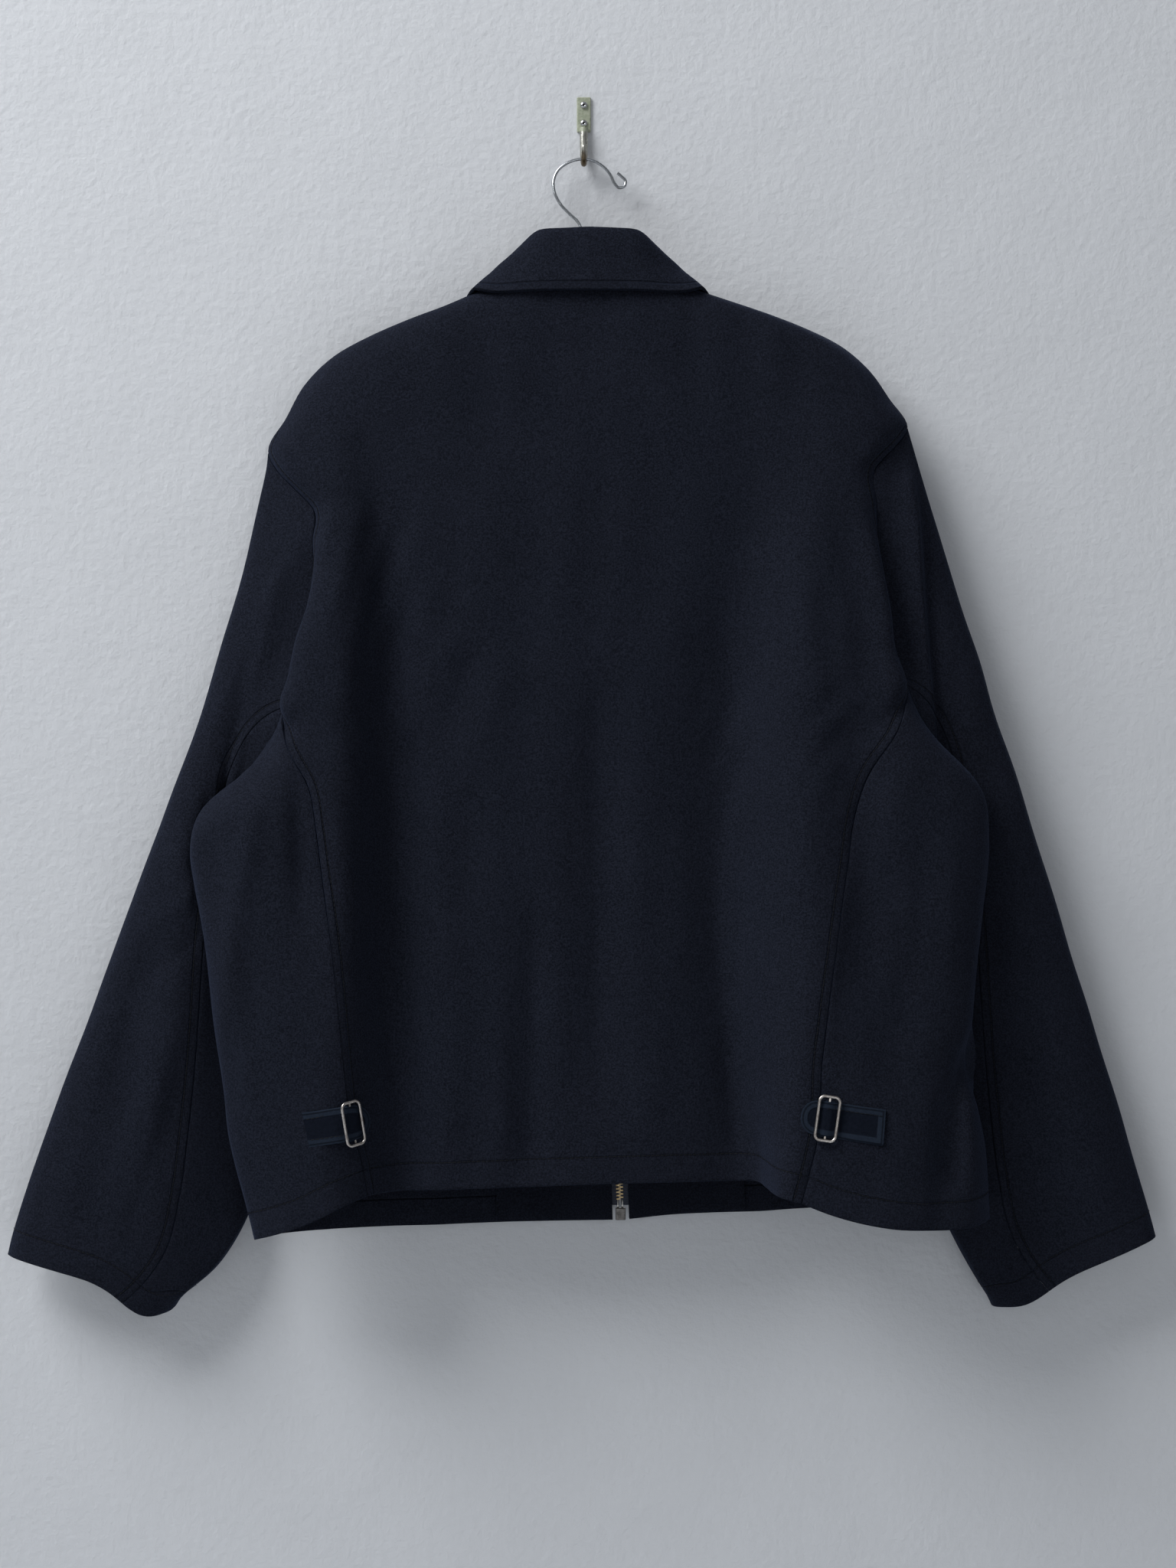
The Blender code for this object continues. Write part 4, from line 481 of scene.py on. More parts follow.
def wall_finish(name, colour):
    """Rolled wall paint with a fine orange-peel relief, seen from the room's side only."""
    made = Finish(name, 0.72)
    orange_peel = made.noise(150.0, 4.0, 0.6)
    waves = made.noise(14.0, 3.0, 0.5)
    made.colour(made.blend(waves, toned(colour, 0.965), toned(colour, 1.03)))
    made.bump(waves, 0.003, 0.35)
    made.bump(orange_peel, 0.0018, 0.4)
    clear = made.node("ShaderNodeBsdfTransparent")
    sides = made.node("ShaderNodeMixShader")
    made.feed(sides.inputs[0], made.node("ShaderNodeNewGeometry").outputs["Backfacing"])
    made.feed(sides.inputs[1], made.shader.outputs["BSDF"])
    made.feed(sides.inputs[2], clear.outputs["BSDF"])
    made.feed(made.tree.nodes["Material Output"].inputs["Surface"], sides.outputs["Shader"])
    return made.material


# ---------------------------------------------------------------- shared helpers


def merged(node):
    """A copy of a solid with its points shared."""
    mesh = bmesh.new()
    mesh.from_mesh(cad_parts[node].data)
    bmesh.ops.remove_doubles(mesh, verts=mesh.verts[:], dist=TOUCHING)
    return mesh


def finished_mesh(name, mesh):
    """The mesh of a bmesh, which is freed."""
    data = bpy.data.meshes.new(name)
    mesh.to_mesh(data)
    mesh.free()
    return data


def node_tree(node):
    """The faces of a solid, to cast rays at."""
    mesh = merged(node)
    tree = BVHTree.FromBMesh(mesh)
    mesh.free()
    return tree


def point_tree(points):
    """Points, to be searched for the nearest."""
    tree = KDTree(len(points))
    for i, point in enumerate(points):
        tree.insert(point, i)
    tree.balance()
    return tree


def run_along(line):
    """How far along a line each of its points lies."""
    return np.concatenate([[0.0], np.cumsum(np.linalg.norm(np.diff(line, axis=0), axis=1))])


def evenly(line, count):
    """A line again, with a number of even steps."""
    places = run_along(line)
    at = np.linspace(0, places[-1], count)
    return np.stack([np.interp(at, places, line[:, k]) for k in range(3)], axis=1)


def face_normals(grid):
    """A unit normal at each point of a grid."""
    normal = np.cross(np.gradient(grid, axis=0), np.gradient(grid, axis=1))
    return normal / np.maximum(np.linalg.norm(normal, axis=2, keepdims=True), 1e-12)


def add_piece(name, data, material, body=BODY):
    """A piece made of a mesh and one material, carried by a body."""
    thing = bpy.data.objects.new(name, data)
    bpy.context.scene.collection.objects.link(thing)
    data.materials.append(material)
    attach(thing, body)
    return thing


def stand_for(thing, node):
    """Hides the solid that a piece stands for."""
    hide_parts(node)


def soften_edges(thing, width, angle, segments=2):
    """Rounds the edges that are sharper than an angle in degrees, by a width in millimetres."""
    edge = thing.modifiers.new("Soft edge", "BEVEL")
    edge.width = width * MM
    edge.segments = segments
    edge.limit_method = "ANGLE"
    edge.angle_limit = radians(angle)


# ---------------------------------------------------------------- reading a cloth solid's grid

# The shown corners of each cloth solid, in millimetres: the first and last of its top row, then the last and first
# of its lowest row. A facing shows its inner side, and the rest their outer side.
CORNERS = {
    "back": ((-76.5, -30.1, -135.2), (82.5, -30.1, -135.2), (153.3, -116.6, -790.9), (-154.0, -86.9, -789.5)),
    "side_panel_left": (
        (-216.4, -61.3, -440.8), (-262.4, -40.0, -528.9), (-185.2, -30.5, -821.0), (-154.3, -87.1, -789.6)
    ),
    "side_panel_right": (
        (233.4, -61.3, -424.9), (271.5, -40.0, -520.6), (241.2, -29.7, -806.2), (153.6, -116.6, -791.0)
    ),
    "front_left": ((-76.5, -29.8, -135.3), (-2.7, -11.7, -222.1), (21.3, -10.1, -817.0), (-185.0, -30.4, -821.0)),
    "front_right": ((82.5, -29.7, -135.3), (9.7, -11.7, -222.1), (33.6, -10.1, -816.5), (241.0, -29.6, -806.2)),
    "facing_left": ((-2.5, -16.3, -224.0), (-67.9, -17.9, -177.1), (-64.5, -16.6, -817.5), (21.3, -14.8, -816.1)),
    "facing_right": ((9.5, -16.3, -224.0), (74.1, -17.9, -177.1), (119.0, -20.7, -809.4), (33.3, -14.7, -815.6)),
    "collar": ((-2.6, -11.4, -221.8), (9.6, -11.4, -221.8), (49.4, -8.2, -263.8), (-42.6, -8.2, -263.8)),
    "sleeve_upper_left": (
        (-177.2, -29.2, -439.4), (-216.5, -61.1, -440.6), (-335.9, -43.1, -873.3), (-336.0, -8.8, -866.5)
    ),
    "sleeve_upper_right": (
        (194.2, -29.2, -426.3), (233.5, -61.1, -424.7), (338.8, -42.1, -864.6), (338.8, -8.8, -861.2)
    ),
    "sleeve_under_left": (
        (-216.4, -61.2, -440.8), (-177.1, -29.2, -439.7), (-335.8, -8.9, -866.7), (-335.7, -43.0, -873.5)
    ),
    "sleeve_under_right": (
        (233.4, -61.3, -424.9), (194.1, -29.2, -426.6), (338.6, -8.8, -861.4), (338.5, -42.0, -864.8)
    ),
}


class Diagonals:
    """Which edges of a triangulated wall are diagonals of its four-sided cells.

    Each triangle has exactly one. Each point of the wall has four edges that aren't diagonals, and a corner has three.
    """

    def __init__(self, mesh, corners):
        self.mesh = mesh
        self.left = {v: len(v.link_edges) - (3 if v in corners else 4) for v in mesh.verts}
        self.known = {}
        self.clashes = 0
        self.spread(list(mesh.verts))

    def copy(self):
        other = Diagonals.__new__(Diagonals)
        other.mesh, other.clashes = self.mesh, self.clashes
        other.left, other.known = dict(self.left), dict(self.known)
        return other

    def settle(self, edge, diagonal, waiting):
        if edge in self.known:
            return
        self.known[edge] = diagonal
        for vert in edge.verts:
            self.left[vert] -= diagonal
            waiting.append(vert)
        waiting.extend(edge.link_faces)

    def spread(self, waiting):
        while waiting:
            item = waiting.pop()
            point = isinstance(item, bmesh.types.BMVert)
            unknown = [edge for edge in (item.link_edges if point else item.edges) if edge not in self.known]
            if point:
                self.clashes += not 0 <= self.left[item] <= len(unknown)
                if self.left[item] in (0, len(unknown)):
                    for edge in unknown:
                        self.settle(edge, self.left[item] > 0, waiting)
            else:
                found = sum(1 for edge in item.edges if self.known.get(edge))
                self.clashes += found > 1 or found + len(unknown) == 0
                if found or len(unknown) == 1:
                    for edge in unknown:
                        self.settle(edge, not found, waiting)

    def trial(self, edge, diagonal):
        """A copy in which one more edge is settled."""
        other, waiting = self.copy(), []
        other.settle(edge, diagonal, waiting)
        other.spread(waiting)
        return other

    def solved(self):
        state = self
        doubtful = sorted(self.mesh.edges, key=lambda edge: -edge.calc_length())
        while True:
            doubtful = [edge for edge in doubtful if edge not in state.known]
            if not doubtful:
                return [edge for edge, diagonal in state.known.items() if diagonal]
            for edge in doubtful:
                tries = [state.trial(edge, diagonal) for diagonal in (True, False)]
                if tries[0].clashes != tries[1].clashes:
                    state = min(tries, key=lambda tried: tried.clashes)
                    break
            else:
                state = state.trial(doubtful[0], True)


def merged_wall(node):
    """A copy of a cloth solid with shared points, and its outer and inner corner points."""
    mesh = merged(node)
    pairs = [
        sorted(mesh.verts, key=lambda v: (v.co - Vector(corner) * MM).length)[:2] for corner in CORNERS[node]
    ]
    return mesh, [pair[0] for pair in pairs], [pair[1] for pair in pairs]


def skin_of(corner):
    """The faces joined to a corner point."""
    near, skin = list(corner.link_faces), set()
    while near:
        face = near.pop()
        if face not in skin:
            skin.add(face)
            near.extend(other for edge in face.edges for other in edge.link_faces)
    return skin


def side_between(start, end, others):
    """The points along a skin's open edge from one corner to the next."""
    for first in start.link_edges:
        if not first.is_boundary:
            continue
        line, edge = [start], first
        while True:
            line.append(edge.other_vert(line[-1]))
            if line[-1] is end:
                return line
            if line[-1] in others:
                break
            edge = next(e for e in line[-1].link_edges if e.is_boundary and line[-2] not in e.verts)
    raise RuntimeError("Two corners of a cloth solid aren't joined by one side")


def walked_grid(node):
    """The outer skin's points in rows and columns, read off the solid's four-sided cells, and the inner skin's."""
    mesh, outer, inner = merged_wall(node)
    diagonals = Diagonals(mesh, outer + inner).solved()
    bmesh.ops.dissolve_edges(mesh, edges=diagonals, use_verts=False)
    post = next(e for e in outer[0].link_edges if inner[0] in e.verts)
    edge, face, rim = post, post.link_faces[0], []
    while face not in rim:
        rim.append(face)
        edge = next(e for e in face.edges if not set(e.verts) & set(edge.verts))
        face = next(f for f in edge.link_faces if f is not face)
    bmesh.ops.delete(mesh, geom=rim, context="FACES")
    row = side_between(outer[0], outer[1], outer)
    grid, used = [row], set()
    while outer[3] not in row:
        following = []
        for before, after in zip(row, row[1:]):
            face = next(f for f in before.link_faces if after in f.verts and f not in used)
            used.add(face)
            ends = [
                next(e.other_vert(v) for e in v.link_edges if face in e.link_faces and o not in e.verts)
                for v, o in ((before, after), (after, before))
            ]
            following += ends if not following else ends[1:]
        grid.append(following)
        row = following
    backing = points_under(inner[0])
    points = np.array([[v.co[:] for v in line] for line in grid])
    mesh.free()
    return points, backing


def points_under(corner):
    """The points of the skin that a corner belongs to."""
    return [v.co.copy() for v in {v for face in skin_of(corner) for v in face.verts}]


def rayed_grid(node, rows, columns):
    """The outer skin of a front as a grid: its four sides, blended across and laid on it along the depth axis."""
    mesh, outer, inner = merged_wall(node)
    thick = max((a.co - b.co).length for a, b in zip(outer, inner)) + 0.0002
    rim = [face for face in mesh.faces if min(edge.calc_length() for edge in face.edges) < thick]
    bmesh.ops.delete(mesh, geom=rim, context="FACES")
    sides = [side_between(a, b, outer) for a, b in zip(outer, outer[1:] + outer[:1])]
    backing = points_under(inner[0])
    skin = skin_of(outer[0])
    bmesh.ops.delete(mesh, geom=[face for face in mesh.faces if face not in skin], context="FACES")
    tree = BVHTree.FromBMesh(mesh)
    top, last, low, first = (np.array([v.co[:] for v in side]) for side in sides)
    top, low = evenly(top, columns), evenly(low[::-1], columns)
    first, last = evenly(first[::-1], rows), evenly(last, rows)
    s, t = np.linspace(0, 1, columns)[None, :, None], np.linspace(0, 1, rows)[:, None, None]
    grid = (1 - t) * top[None] + t * low[None] + (1 - s) * first[:, None] + s * last[:, None]
    grid -= (1 - t) * ((1 - s) * top[0] + s * top[-1]) + t * ((1 - s) * low[0] + s * low[-1])
    for i in range(1, rows - 1):
        for j in range(1, columns - 1):
            place, _, _, _ = tree.ray_cast(Vector((grid[i, j, 0], 1.0, grid[i, j, 2])), Vector((0, -1, 0)))
            grid[i, j] = place or tree.find_nearest(Vector(grid[i, j]))[0]
    mesh.free()
    return grid, backing


def cloth_grid(node):
    """The outer skin of a cloth solid as a grid whose normals face out of the cloth."""
    outer, backing = rayed_grid(node, *FRONT_CELLS) if node.startswith("front") else walked_grid(node)
    tree = point_tree(backing)
    lean = 0.0
    for point, way in zip(outer.reshape(-1, 3)[::5], face_normals(outer).reshape(-1, 3)[::5]):
        lean += float(np.dot(point - np.array(tree.find(point)[0]), way))
    return outer if lean > 0 else outer[:, ::-1]


# ---------------------------------------------------------------- fine cloth


def spline_weights(knots, places):
    """Weights that read a smooth curve through values at the knots, one row for each place."""
    count = len(knots)
    gaps = np.diff(knots)
    slopes = np.zeros((count, count))
    for k in range(1, count - 1):
        before, after = gaps[k - 1], gaps[k]
        whole = before + after
        slopes[k, k - 1] = -after / (before * whole)
        slopes[k, k + 1] = before / (after * whole)
        slopes[k, k] = (after - before) / (before * after)
    for end, near, sign in ((0, 1, 1), (count - 1, count - 2, -1)):
        gap = abs(knots[near] - knots[end])
        slopes[end] = -slopes[near]
        slopes[end, near] += 2 * sign / gap
        slopes[end, end] -= 2 * sign / gap
    cell = np.clip(np.searchsorted(knots, places, side="right") - 1, 0, count - 2)
    gap = gaps[cell]
    t = (places - knots[cell]) / gap
    weights = np.zeros((len(places), count))
    rows = np.arange(len(places))
    weights[rows, cell] += (1 + 2 * t) * (1 - t) ** 2
    weights[rows, cell + 1] += t * t * (3 - 2 * t)
    weights += (t * (1 - t) ** 2 * gap)[:, None] * slopes[cell]
    weights += (t * t * (t - 1) * gap)[:, None] * slopes[cell + 1]
    return weights


def knots_of(grid, axis):
    """How far along each row or column lies, by the mean length of the cells."""
    steps = np.linalg.norm(np.diff(grid, axis=axis), axis=2).mean(axis=1 - axis)
    return np.concatenate([[0.0], np.cumsum(steps)])


def refined(grid, cell, by_edges=False):
    """A finer grid through the same points, and the place of each row and column in metres.

    Rows placed by the two side edges alone keep the edges of two panels together where they are sewn to each other.
    """
    weights, places = [], []
    for axis in (0, 1):
        knots = knots_of(grid[:, [0, -1]] if by_edges and axis == 0 else grid, axis)
        count = max(4, round(knots[-1] / cell))
        where = np.linspace(0.0, knots[-1], count + 1)
        weights.append(spline_weights(knots, where))
        places.append(where)
    return np.einsum("ai,ijk,bj->abk", weights[0], grid, weights[1]), places


def along_path(path, points):
    """For each point, its signed distance right of a path, how far along it lies, and the path's length."""
    path = np.array(path, float)
    last = len(path) - 1
    fine = spline_weights(np.arange(last + 1, dtype=float), np.linspace(0, last, 6 * last + 1)) @ path
    best = np.full(len(points), 1e9)
    side, run = np.zeros(len(points)), np.zeros(len(points))
    start = 0.0
    for a, b in zip(fine, fine[1:]):
        step = b - a
        length = float(np.hypot(*step))
        t = np.clip(((points - a) @ step) / length**2, 0, 1)
        away = points - (a + t[:, None] * step)
        distance = np.hypot(away[:, 0], away[:, 1])
        closer = distance < best
        turn = step[1] * away[:, 0] - step[0] * away[:, 1]
        best = np.where(closer, distance, best)
        side = np.where(closer, np.sign(turn), side)
        run = np.where(closer, start + t * length, run)
        start += length
    return best * side, run, start


def eased(share):
    """A share from 0 to 1 that starts and ends softly."""
    share = np.clip(share, 0.0, 1.0)
    return share * share * (3 - 2 * share)


def crease_lift(places, creases):
    """How far the creases lift each (x, drop) place, in millimetres."""
    lift = np.zeros(len(places))
    for crease in creases:
        away, run, length = along_path(crease.path, places)
        reach = np.where(away < 0, crease.left, crease.right)
        strength = eased(run / crease.head) * eased((length - run) / crease.tail)
        beyond = np.abs(away) / reach
        lift += crease.rise * strength * np.exp(-(beyond**1.7))
    return lift


def hand_relief(places, seed, size, height):
    """The soft unevenness of hanging wool: a few slow waves, in millimetres."""
    source = np.random.default_rng(seed)
    lift = np.zeros(len(places))
    for _ in range(RELIEF_WAVES):
        angle = source.uniform(-0.5, 0.5)
        wave = source.uniform(0.7, 1.8) * size
        phase = source.uniform(0, 2 * pi)
        turned = places[:, 0] * cos(angle) + 0.35 * places[:, 1] * sin(angle)
        lift += np.sin(2 * pi * turned / wave + phase + 0.9 * np.sin(places[:, 1] / size + phase))
    return lift * height / RELIEF_WAVES**0.5


def edge_room(grid):
    """How far each point of a grid is from the nearest of its four edges, in millimetres along the grid."""
    rooms = []
    for axis in (0, 1):
        steps = np.linalg.norm(np.diff(grid, axis=axis, prepend=np.take(grid, [0], axis=axis)), axis=2)
        run = np.cumsum(steps, axis=axis)
        rooms.append(np.minimum(run, np.take(run, [-1], axis=axis) - run))
    return np.minimum(*rooms).ravel() / MM


def taken(depth, hold):
    """How far the creases have taken hold at a depth."""
    start, growth = hold
    return eased((depth - start) / growth)


def creased(grid, panel):
    """A fine grid, moved by the creases and the soft relief that belong on that side of the jacket.

    The cloth moves along its normals, and beside its edges straight out from the jacket, so that sewn edges stay shut.
    """
    share = bpy.context.scene.jacket_cloth.crease
    flat = grid.reshape(-1, 3) / MM
    places = np.column_stack([flat[:, 0], -flat[:, 2]])
    depth = -flat[:, 1]
    out = np.zeros(len(flat))
    relief = np.zeros(len(flat))
    if panel.startswith("sleeve"):
        creases = LEFT_SLEEVE_CREASES if panel.endswith("left") else RIGHT_SLEEVE_CREASES
        out += crease_lift(places, creases) * taken(depth, SLEEVE_BACK)
        relief += hand_relief(places, *SLEEVE_RELIEF)
    elif not panel.startswith("facing"):
        room = taken(depth, BODY_BACK)
        wall = eased((BODY_FRONT[0] - depth) / BODY_FRONT[1])
        out += crease_lift(places, BACK_CREASES) * room - crease_lift(places, FRONT_CREASES) * wall
        relief += hand_relief(places, *BODY_RELIEF) * np.maximum(room, wall)
    free = eased(edge_room(grid) / EDGE_ROOM)
    normals = face_normals(grid).reshape(-1, 3)
    along = (np.where(normals[:, 1] <= 0, out, -out) + relief) * free
    moved = grid.reshape(-1, 3) + normals * (along * share * MM)[:, None]
    moved[:, 1] -= out * (1 - free) * share * MM
    for limit in LIMITS.get(panel, ()):
        moved = drawn_in(moved, limit)
    return moved.reshape(grid.shape)


def drawn_in(points, limit):
    """Draws the points just beyond a line back to it, softly, within the height and width of the jacket."""
    places = np.column_stack([points[:, 0], -points[:, 2]]) / MM
    away, run, length = along_path(limit.path, places)
    beyond = np.maximum(away * limit.side, 0.0)
    beyond = np.where(beyond > DRAWN_AT_MOST, 0.0, beyond)
    beyond *= DRAWN_SHARE * eased(run / limit.head) * eased((length - run) / limit.tail)
    first, last = (np.array(limit.path[end], float) for end in (1, -2))
    across, down = last - first
    square = np.array((down, -across)) / np.hypot(down, across) * -limit.side
    points = points.copy()
    points[:, 0] += square[0] * beyond * MM
    points[:, 2] -= square[1] * beyond * MM
    return points


def edge_line(grid, side):
    """One edge of a grid, as points along it."""
    return {"left": grid[:, 0], "right": grid[:, -1], "top": grid[0], "low": grid[-1]}[side]


def close_line(line, step=0.0008):
    """The points of a line again, no further apart than a step."""
    return evenly(line, max(2, int(run_along(line)[-1] / step) + 1))


def distances(points, lines):
    """How far each point is from the nearest of some lines, in millimetres."""
    tree = point_tree(np.concatenate([close_line(line) for line in lines]))
    return np.array([tree.find(point)[2] for point in points]) / MM


def grid_object(name, grid, places, material, thick):
    """A cloth piece: a grid laid on a form, with its wall turned inward and its edges softened."""
    rows, columns = grid.shape[0] - 1, grid.shape[1] - 1
    mesh = bmesh.new()
    uv = mesh.loops.layers.uv.new("UVMap")
    bmesh.ops.create_grid(mesh, x_segments=columns, y_segments=rows, size=1.0)
    for vert in mesh.verts:
        row, column = round((1 - vert.co.y) / 2 * rows), round((vert.co.x + 1) / 2 * columns)
        vert.co = grid[row, column]
        for loop in vert.link_loops:
            loop[uv].uv = (places[1][column], -places[0][row])
    data = finished_mesh(name, mesh)
    data.shade_smooth()
    thing = add_piece(name, data, material)
    wall = thing.modifiers.new("Cloth wall", "SOLIDIFY")
    wall.thickness = thick * MM
    wall.offset = -1.0
    soften_edges(thing, 0.3 * thick, 55)
    return thing


def store(thing, name, values):
    """Keeps a value at each point of a piece, for its material."""
    layer = thing.data.attributes.new(name, "FLOAT", "POINT")
    layer.data.foreach_set("value", np.asarray(values, np.float32))


def points_of(thing):
    """The points of a piece's mesh."""
    flat = np.zeros(len(thing.data.vertices) * 3)
    thing.data.vertices.foreach_get("co", flat)
    return flat.reshape(-1, 3)


def sewn_edges(grid, sides, node):
    """The edges of a panel that a row of stitches follows, cut where the shoulder line starts."""
    lines = []
    for side in sides:
        if side == "seam":
            ends = [edge_line(grid, name) for name in ("left", "right")]
            lines.append(min(ends, key=lambda line: line[:, 1].mean()))
            continue
        line = edge_line(grid, side)
        if (node == "back" or node.startswith("front")) and np.abs(line[:, 0]).max() > OUTER_EDGE * MM:
            line = line[line[:, 2] < -SEAMS_START * MM]
        lines.append(line)
    return lines


def add_panel(panel, material):
    """One cloth panel with its creases and its sewing lines' distances, and the lines that its stitches follow."""
    grid, places = refined(cloth_grid(panel.node), panel.cell * MM, panel.node.startswith("sleeve"))
    grid = creased(grid, panel.node)
    thing = grid_object("cloth_" + panel.node, grid, places, material, panel.thick)
    points = points_of(thing)
    rows = []
    for name, sides, offset in (("seam", panel.seams, SEAM_STITCH), ("hem", panel.hems, HEM_STITCH)):
        if not sides:
            continue
        lines = sewn_edges(grid, sides, panel.node)
        if name == "hem" and panel.node.startswith("front"):
            rows.append((lines.pop(), ZIP_STITCH))
        store(thing, name, distances(points, lines))
        rows += [(line, offset) for line in lines]
    stand_for(thing, panel.node)
    return thing, rows


# ---------------------------------------------------------------- sewing


def stitch_mesh():
    """One stitch, lying along X: a short bar of thread with tapered ends."""
    trim = bpy.context.scene.jacket_trim
    mesh = bmesh.new()
    bmesh.ops.create_cone(
        mesh, cap_ends=True, segments=6, radius1=trim.thread_radius, radius2=trim.thread_radius, depth=trim.stitch * 0.7
    )
    ends = [face for face in mesh.faces if len(face.verts) == 6]
    for face in ends:
        out = face.normal.copy()
        bmesh.ops.inset_individual(mesh, faces=[face], thickness=trim.thread_radius * 0.5, depth=0.0)
        bmesh.ops.translate(mesh, vec=out * trim.stitch * 0.15, verts=face.verts[:])
    bmesh.ops.rotate(mesh, verts=mesh.verts[:], matrix=Matrix.Rotation(pi / 2, 3, "Y"))
    return finished_mesh("stitch", mesh)


def surface_tree(thing):
    """The faces of a piece, to find the nearest point on."""
    points = [tuple(point) for point in points_of(thing)]
    return BVHTree.FromPolygons(points, [tuple(face.vertices) for face in thing.data.polygons])


def offset_row(line, tree, offset):
    """Points and normals of a row on a surface, at a distance inside one of its edges."""
    line = close_line(line, 0.002)
    row = []
    for i, point in enumerate(line):
        point = Vector(point)
        along = Vector(line[min(i + 2, len(line) - 1)] - line[max(i - 2, 0)]).normalized()
        _, normal, _, _ = tree.find_nearest(point)
        aside = normal.cross(along).normalized()
        for way in (aside, -aside):
            place, near, _, distance = tree.find_nearest(point + way * offset * MM)
            if distance < offset * MM * 0.45:
                row.append((place, near))
                break
    return row


def stitch_row(mesh, stitch, row):
    """Lays stitches along a row of points and normals."""
    trim = bpy.context.scene.jacket_trim
    if len(row) < 3:
        return
    points = np.array([place[:] for place, _ in row])
    normals = np.array([normal[:] for _, normal in row])
    gaps = np.linalg.norm(np.diff(points, axis=0), axis=1)
    keep = np.concatenate([[True], gaps < 0.012])
    places = np.concatenate([[0.0], np.cumsum(gaps)])
    count = int(places[-1] / trim.pitch)
    for i in range(1, count):
        at = i * trim.pitch
        k = int(np.searchsorted(places, at))
        if k >= len(places) or not keep[k]:
            continue
        share = (at - places[k - 1]) / max(gaps[k - 1], 1e-9)
        point = Vector(points[k - 1] + share * (points[k] - points[k - 1]))
        normal = Vector(normals[k])
        along = Vector(points[min(k + 1, len(points) - 1)] - points[max(k - 2, 0)]).normalized()
        along = (along - normal * along.dot(normal)).normalized()
        placing = Matrix((along, normal.cross(along), normal)).transposed().to_4x4()
        placing.translation = point - normal * trim.thread_radius * STITCH_SINK
        start = len(mesh.verts)
        mesh.from_mesh(stitch)
        mesh.verts.ensure_lookup_table()
        bmesh.ops.transform(mesh, matrix=placing, verts=mesh.verts[start:])


def add_stitching(name, rows, material):
    """One piece of sewing from rows of points and normals."""
    mesh = bmesh.new()
    stitch = stitch_mesh()
    for row in rows:
        stitch_row(mesh, stitch, row)
    bpy.data.meshes.remove(stitch)
    data = finished_mesh(name, mesh)
    data.shade_smooth()
    add_piece(name, data, material)


SEWING = {}  # the rows of points and normals that each piece of sewing follows


def remember_rows(group, thing, rows):
    """Keeps the rows of stitches on a piece until the sewing is laid."""
    tree = surface_tree(thing)
    SEWING.setdefault(group, []).extend(offset_row(line, tree, offset) for line, offset in rows)


# ---------------------------------------------------------------- pieces


class JACKET_OT_body(bpy.types.Operator):
    """Build the back, the side panels, the fronts and their facings"""

    bl_idname = "jacket.body"
    bl_label = "Body"

    def execute(self, context):
        wool = wool_finish("navy_wool_cloth")
        # The facings' wool is the same wool darkened to 0.85 with less sheen: painted shade for the jacket's inside.
        inner = wool_finish("facing_wool_cloth", 0.85, 0.04)
        for panel in BODY_PANELS:
            thing, rows = add_panel(panel, wool)
            remember_rows("body", thing, rows)
        for panel in FACING_PANELS:
            add_panel(panel, inner)
        return {"FINISHED"}


class JACKET_OT_sleeves(bpy.types.Operator):
    """Build the upper and the under sleeves"""

    bl_idname = "jacket.sleeves"
    bl_label = "Sleeves"

    def execute(self, context):
        wool = bpy.data.materials["navy_wool_cloth"]
        for panel in SLEEVE_PANELS:
            thing, rows = add_panel(panel, wool)
            remember_rows("sleeves", thing, rows)
        return {"FINISHED"}


class JACKET_OT_collar(bpy.types.Operator):
    """Build the turned-down collar"""

    bl_idname = "jacket.collar"
    bl_label = "Collar"

    def execute(self, context):
        panel = Panel("collar", 2.4, 2.4, ("low",), (), (560, 130))
        thing, rows = add_panel(panel, bpy.data.materials["navy_wool_cloth"])
        remember_rows("collar", thing, [(line, COLLAR_STITCH) for line, _ in rows])
        return {"FINISHED"}


class JACKET_OT_sewing(bpy.types.Operator):
    """Lay the rows of topstitching"""

    bl_idname = "jacket.sewing"
    bl_label = "Sewing"

    def execute(self, context):
        thread = thread_finish("navy_thread")
        for group, rows in SEWING.items():
            add_stitching("stitches_" + group, rows, thread)
        return {"FINISHED"}


def centre_front(drop):
    """Where the zip's line stands at a drop."""
    return ZIP_START[0] + (drop - ZIP_START[1]) * ZIP_SLOPE


def laid_on(tree, grid):
    """A grid of (x, drop) places dropped along the depth axis onto the room's side of a form."""
    points = np.zeros((*grid.shape[:2], 3))
    for i in range(grid.shape[0]):
        for j in range(grid.shape[1]):
            x, drop = grid[i, j] * MM
            place, _, _, _ = tree.ray_cast(Vector((x, -1, -drop)), Vector((0, 1, 0)))
            if place is None:
                place = tree.find_nearest(Vector((x, points[i, j - 1, 1] if j else -0.08, -drop)))[0]
            points[i, j] = (x, place.y, -drop)
    return points


def laid_cloth(node, places, material, thick):
    """A cloth piece laid over the room's side of its solid at (x, drop) places, its grid and the solid's faces."""
    tree = node_tree(node)
    grid = laid_on(tree, places)
    if face_normals(grid)[:, :, 1].mean() > 0:
        grid = grid[:, ::-1]
    thing = grid_object("cloth_" + node, grid, (knots_of(grid, 0), knots_of(grid, 1)), material, thick)
    return thing, grid, tree


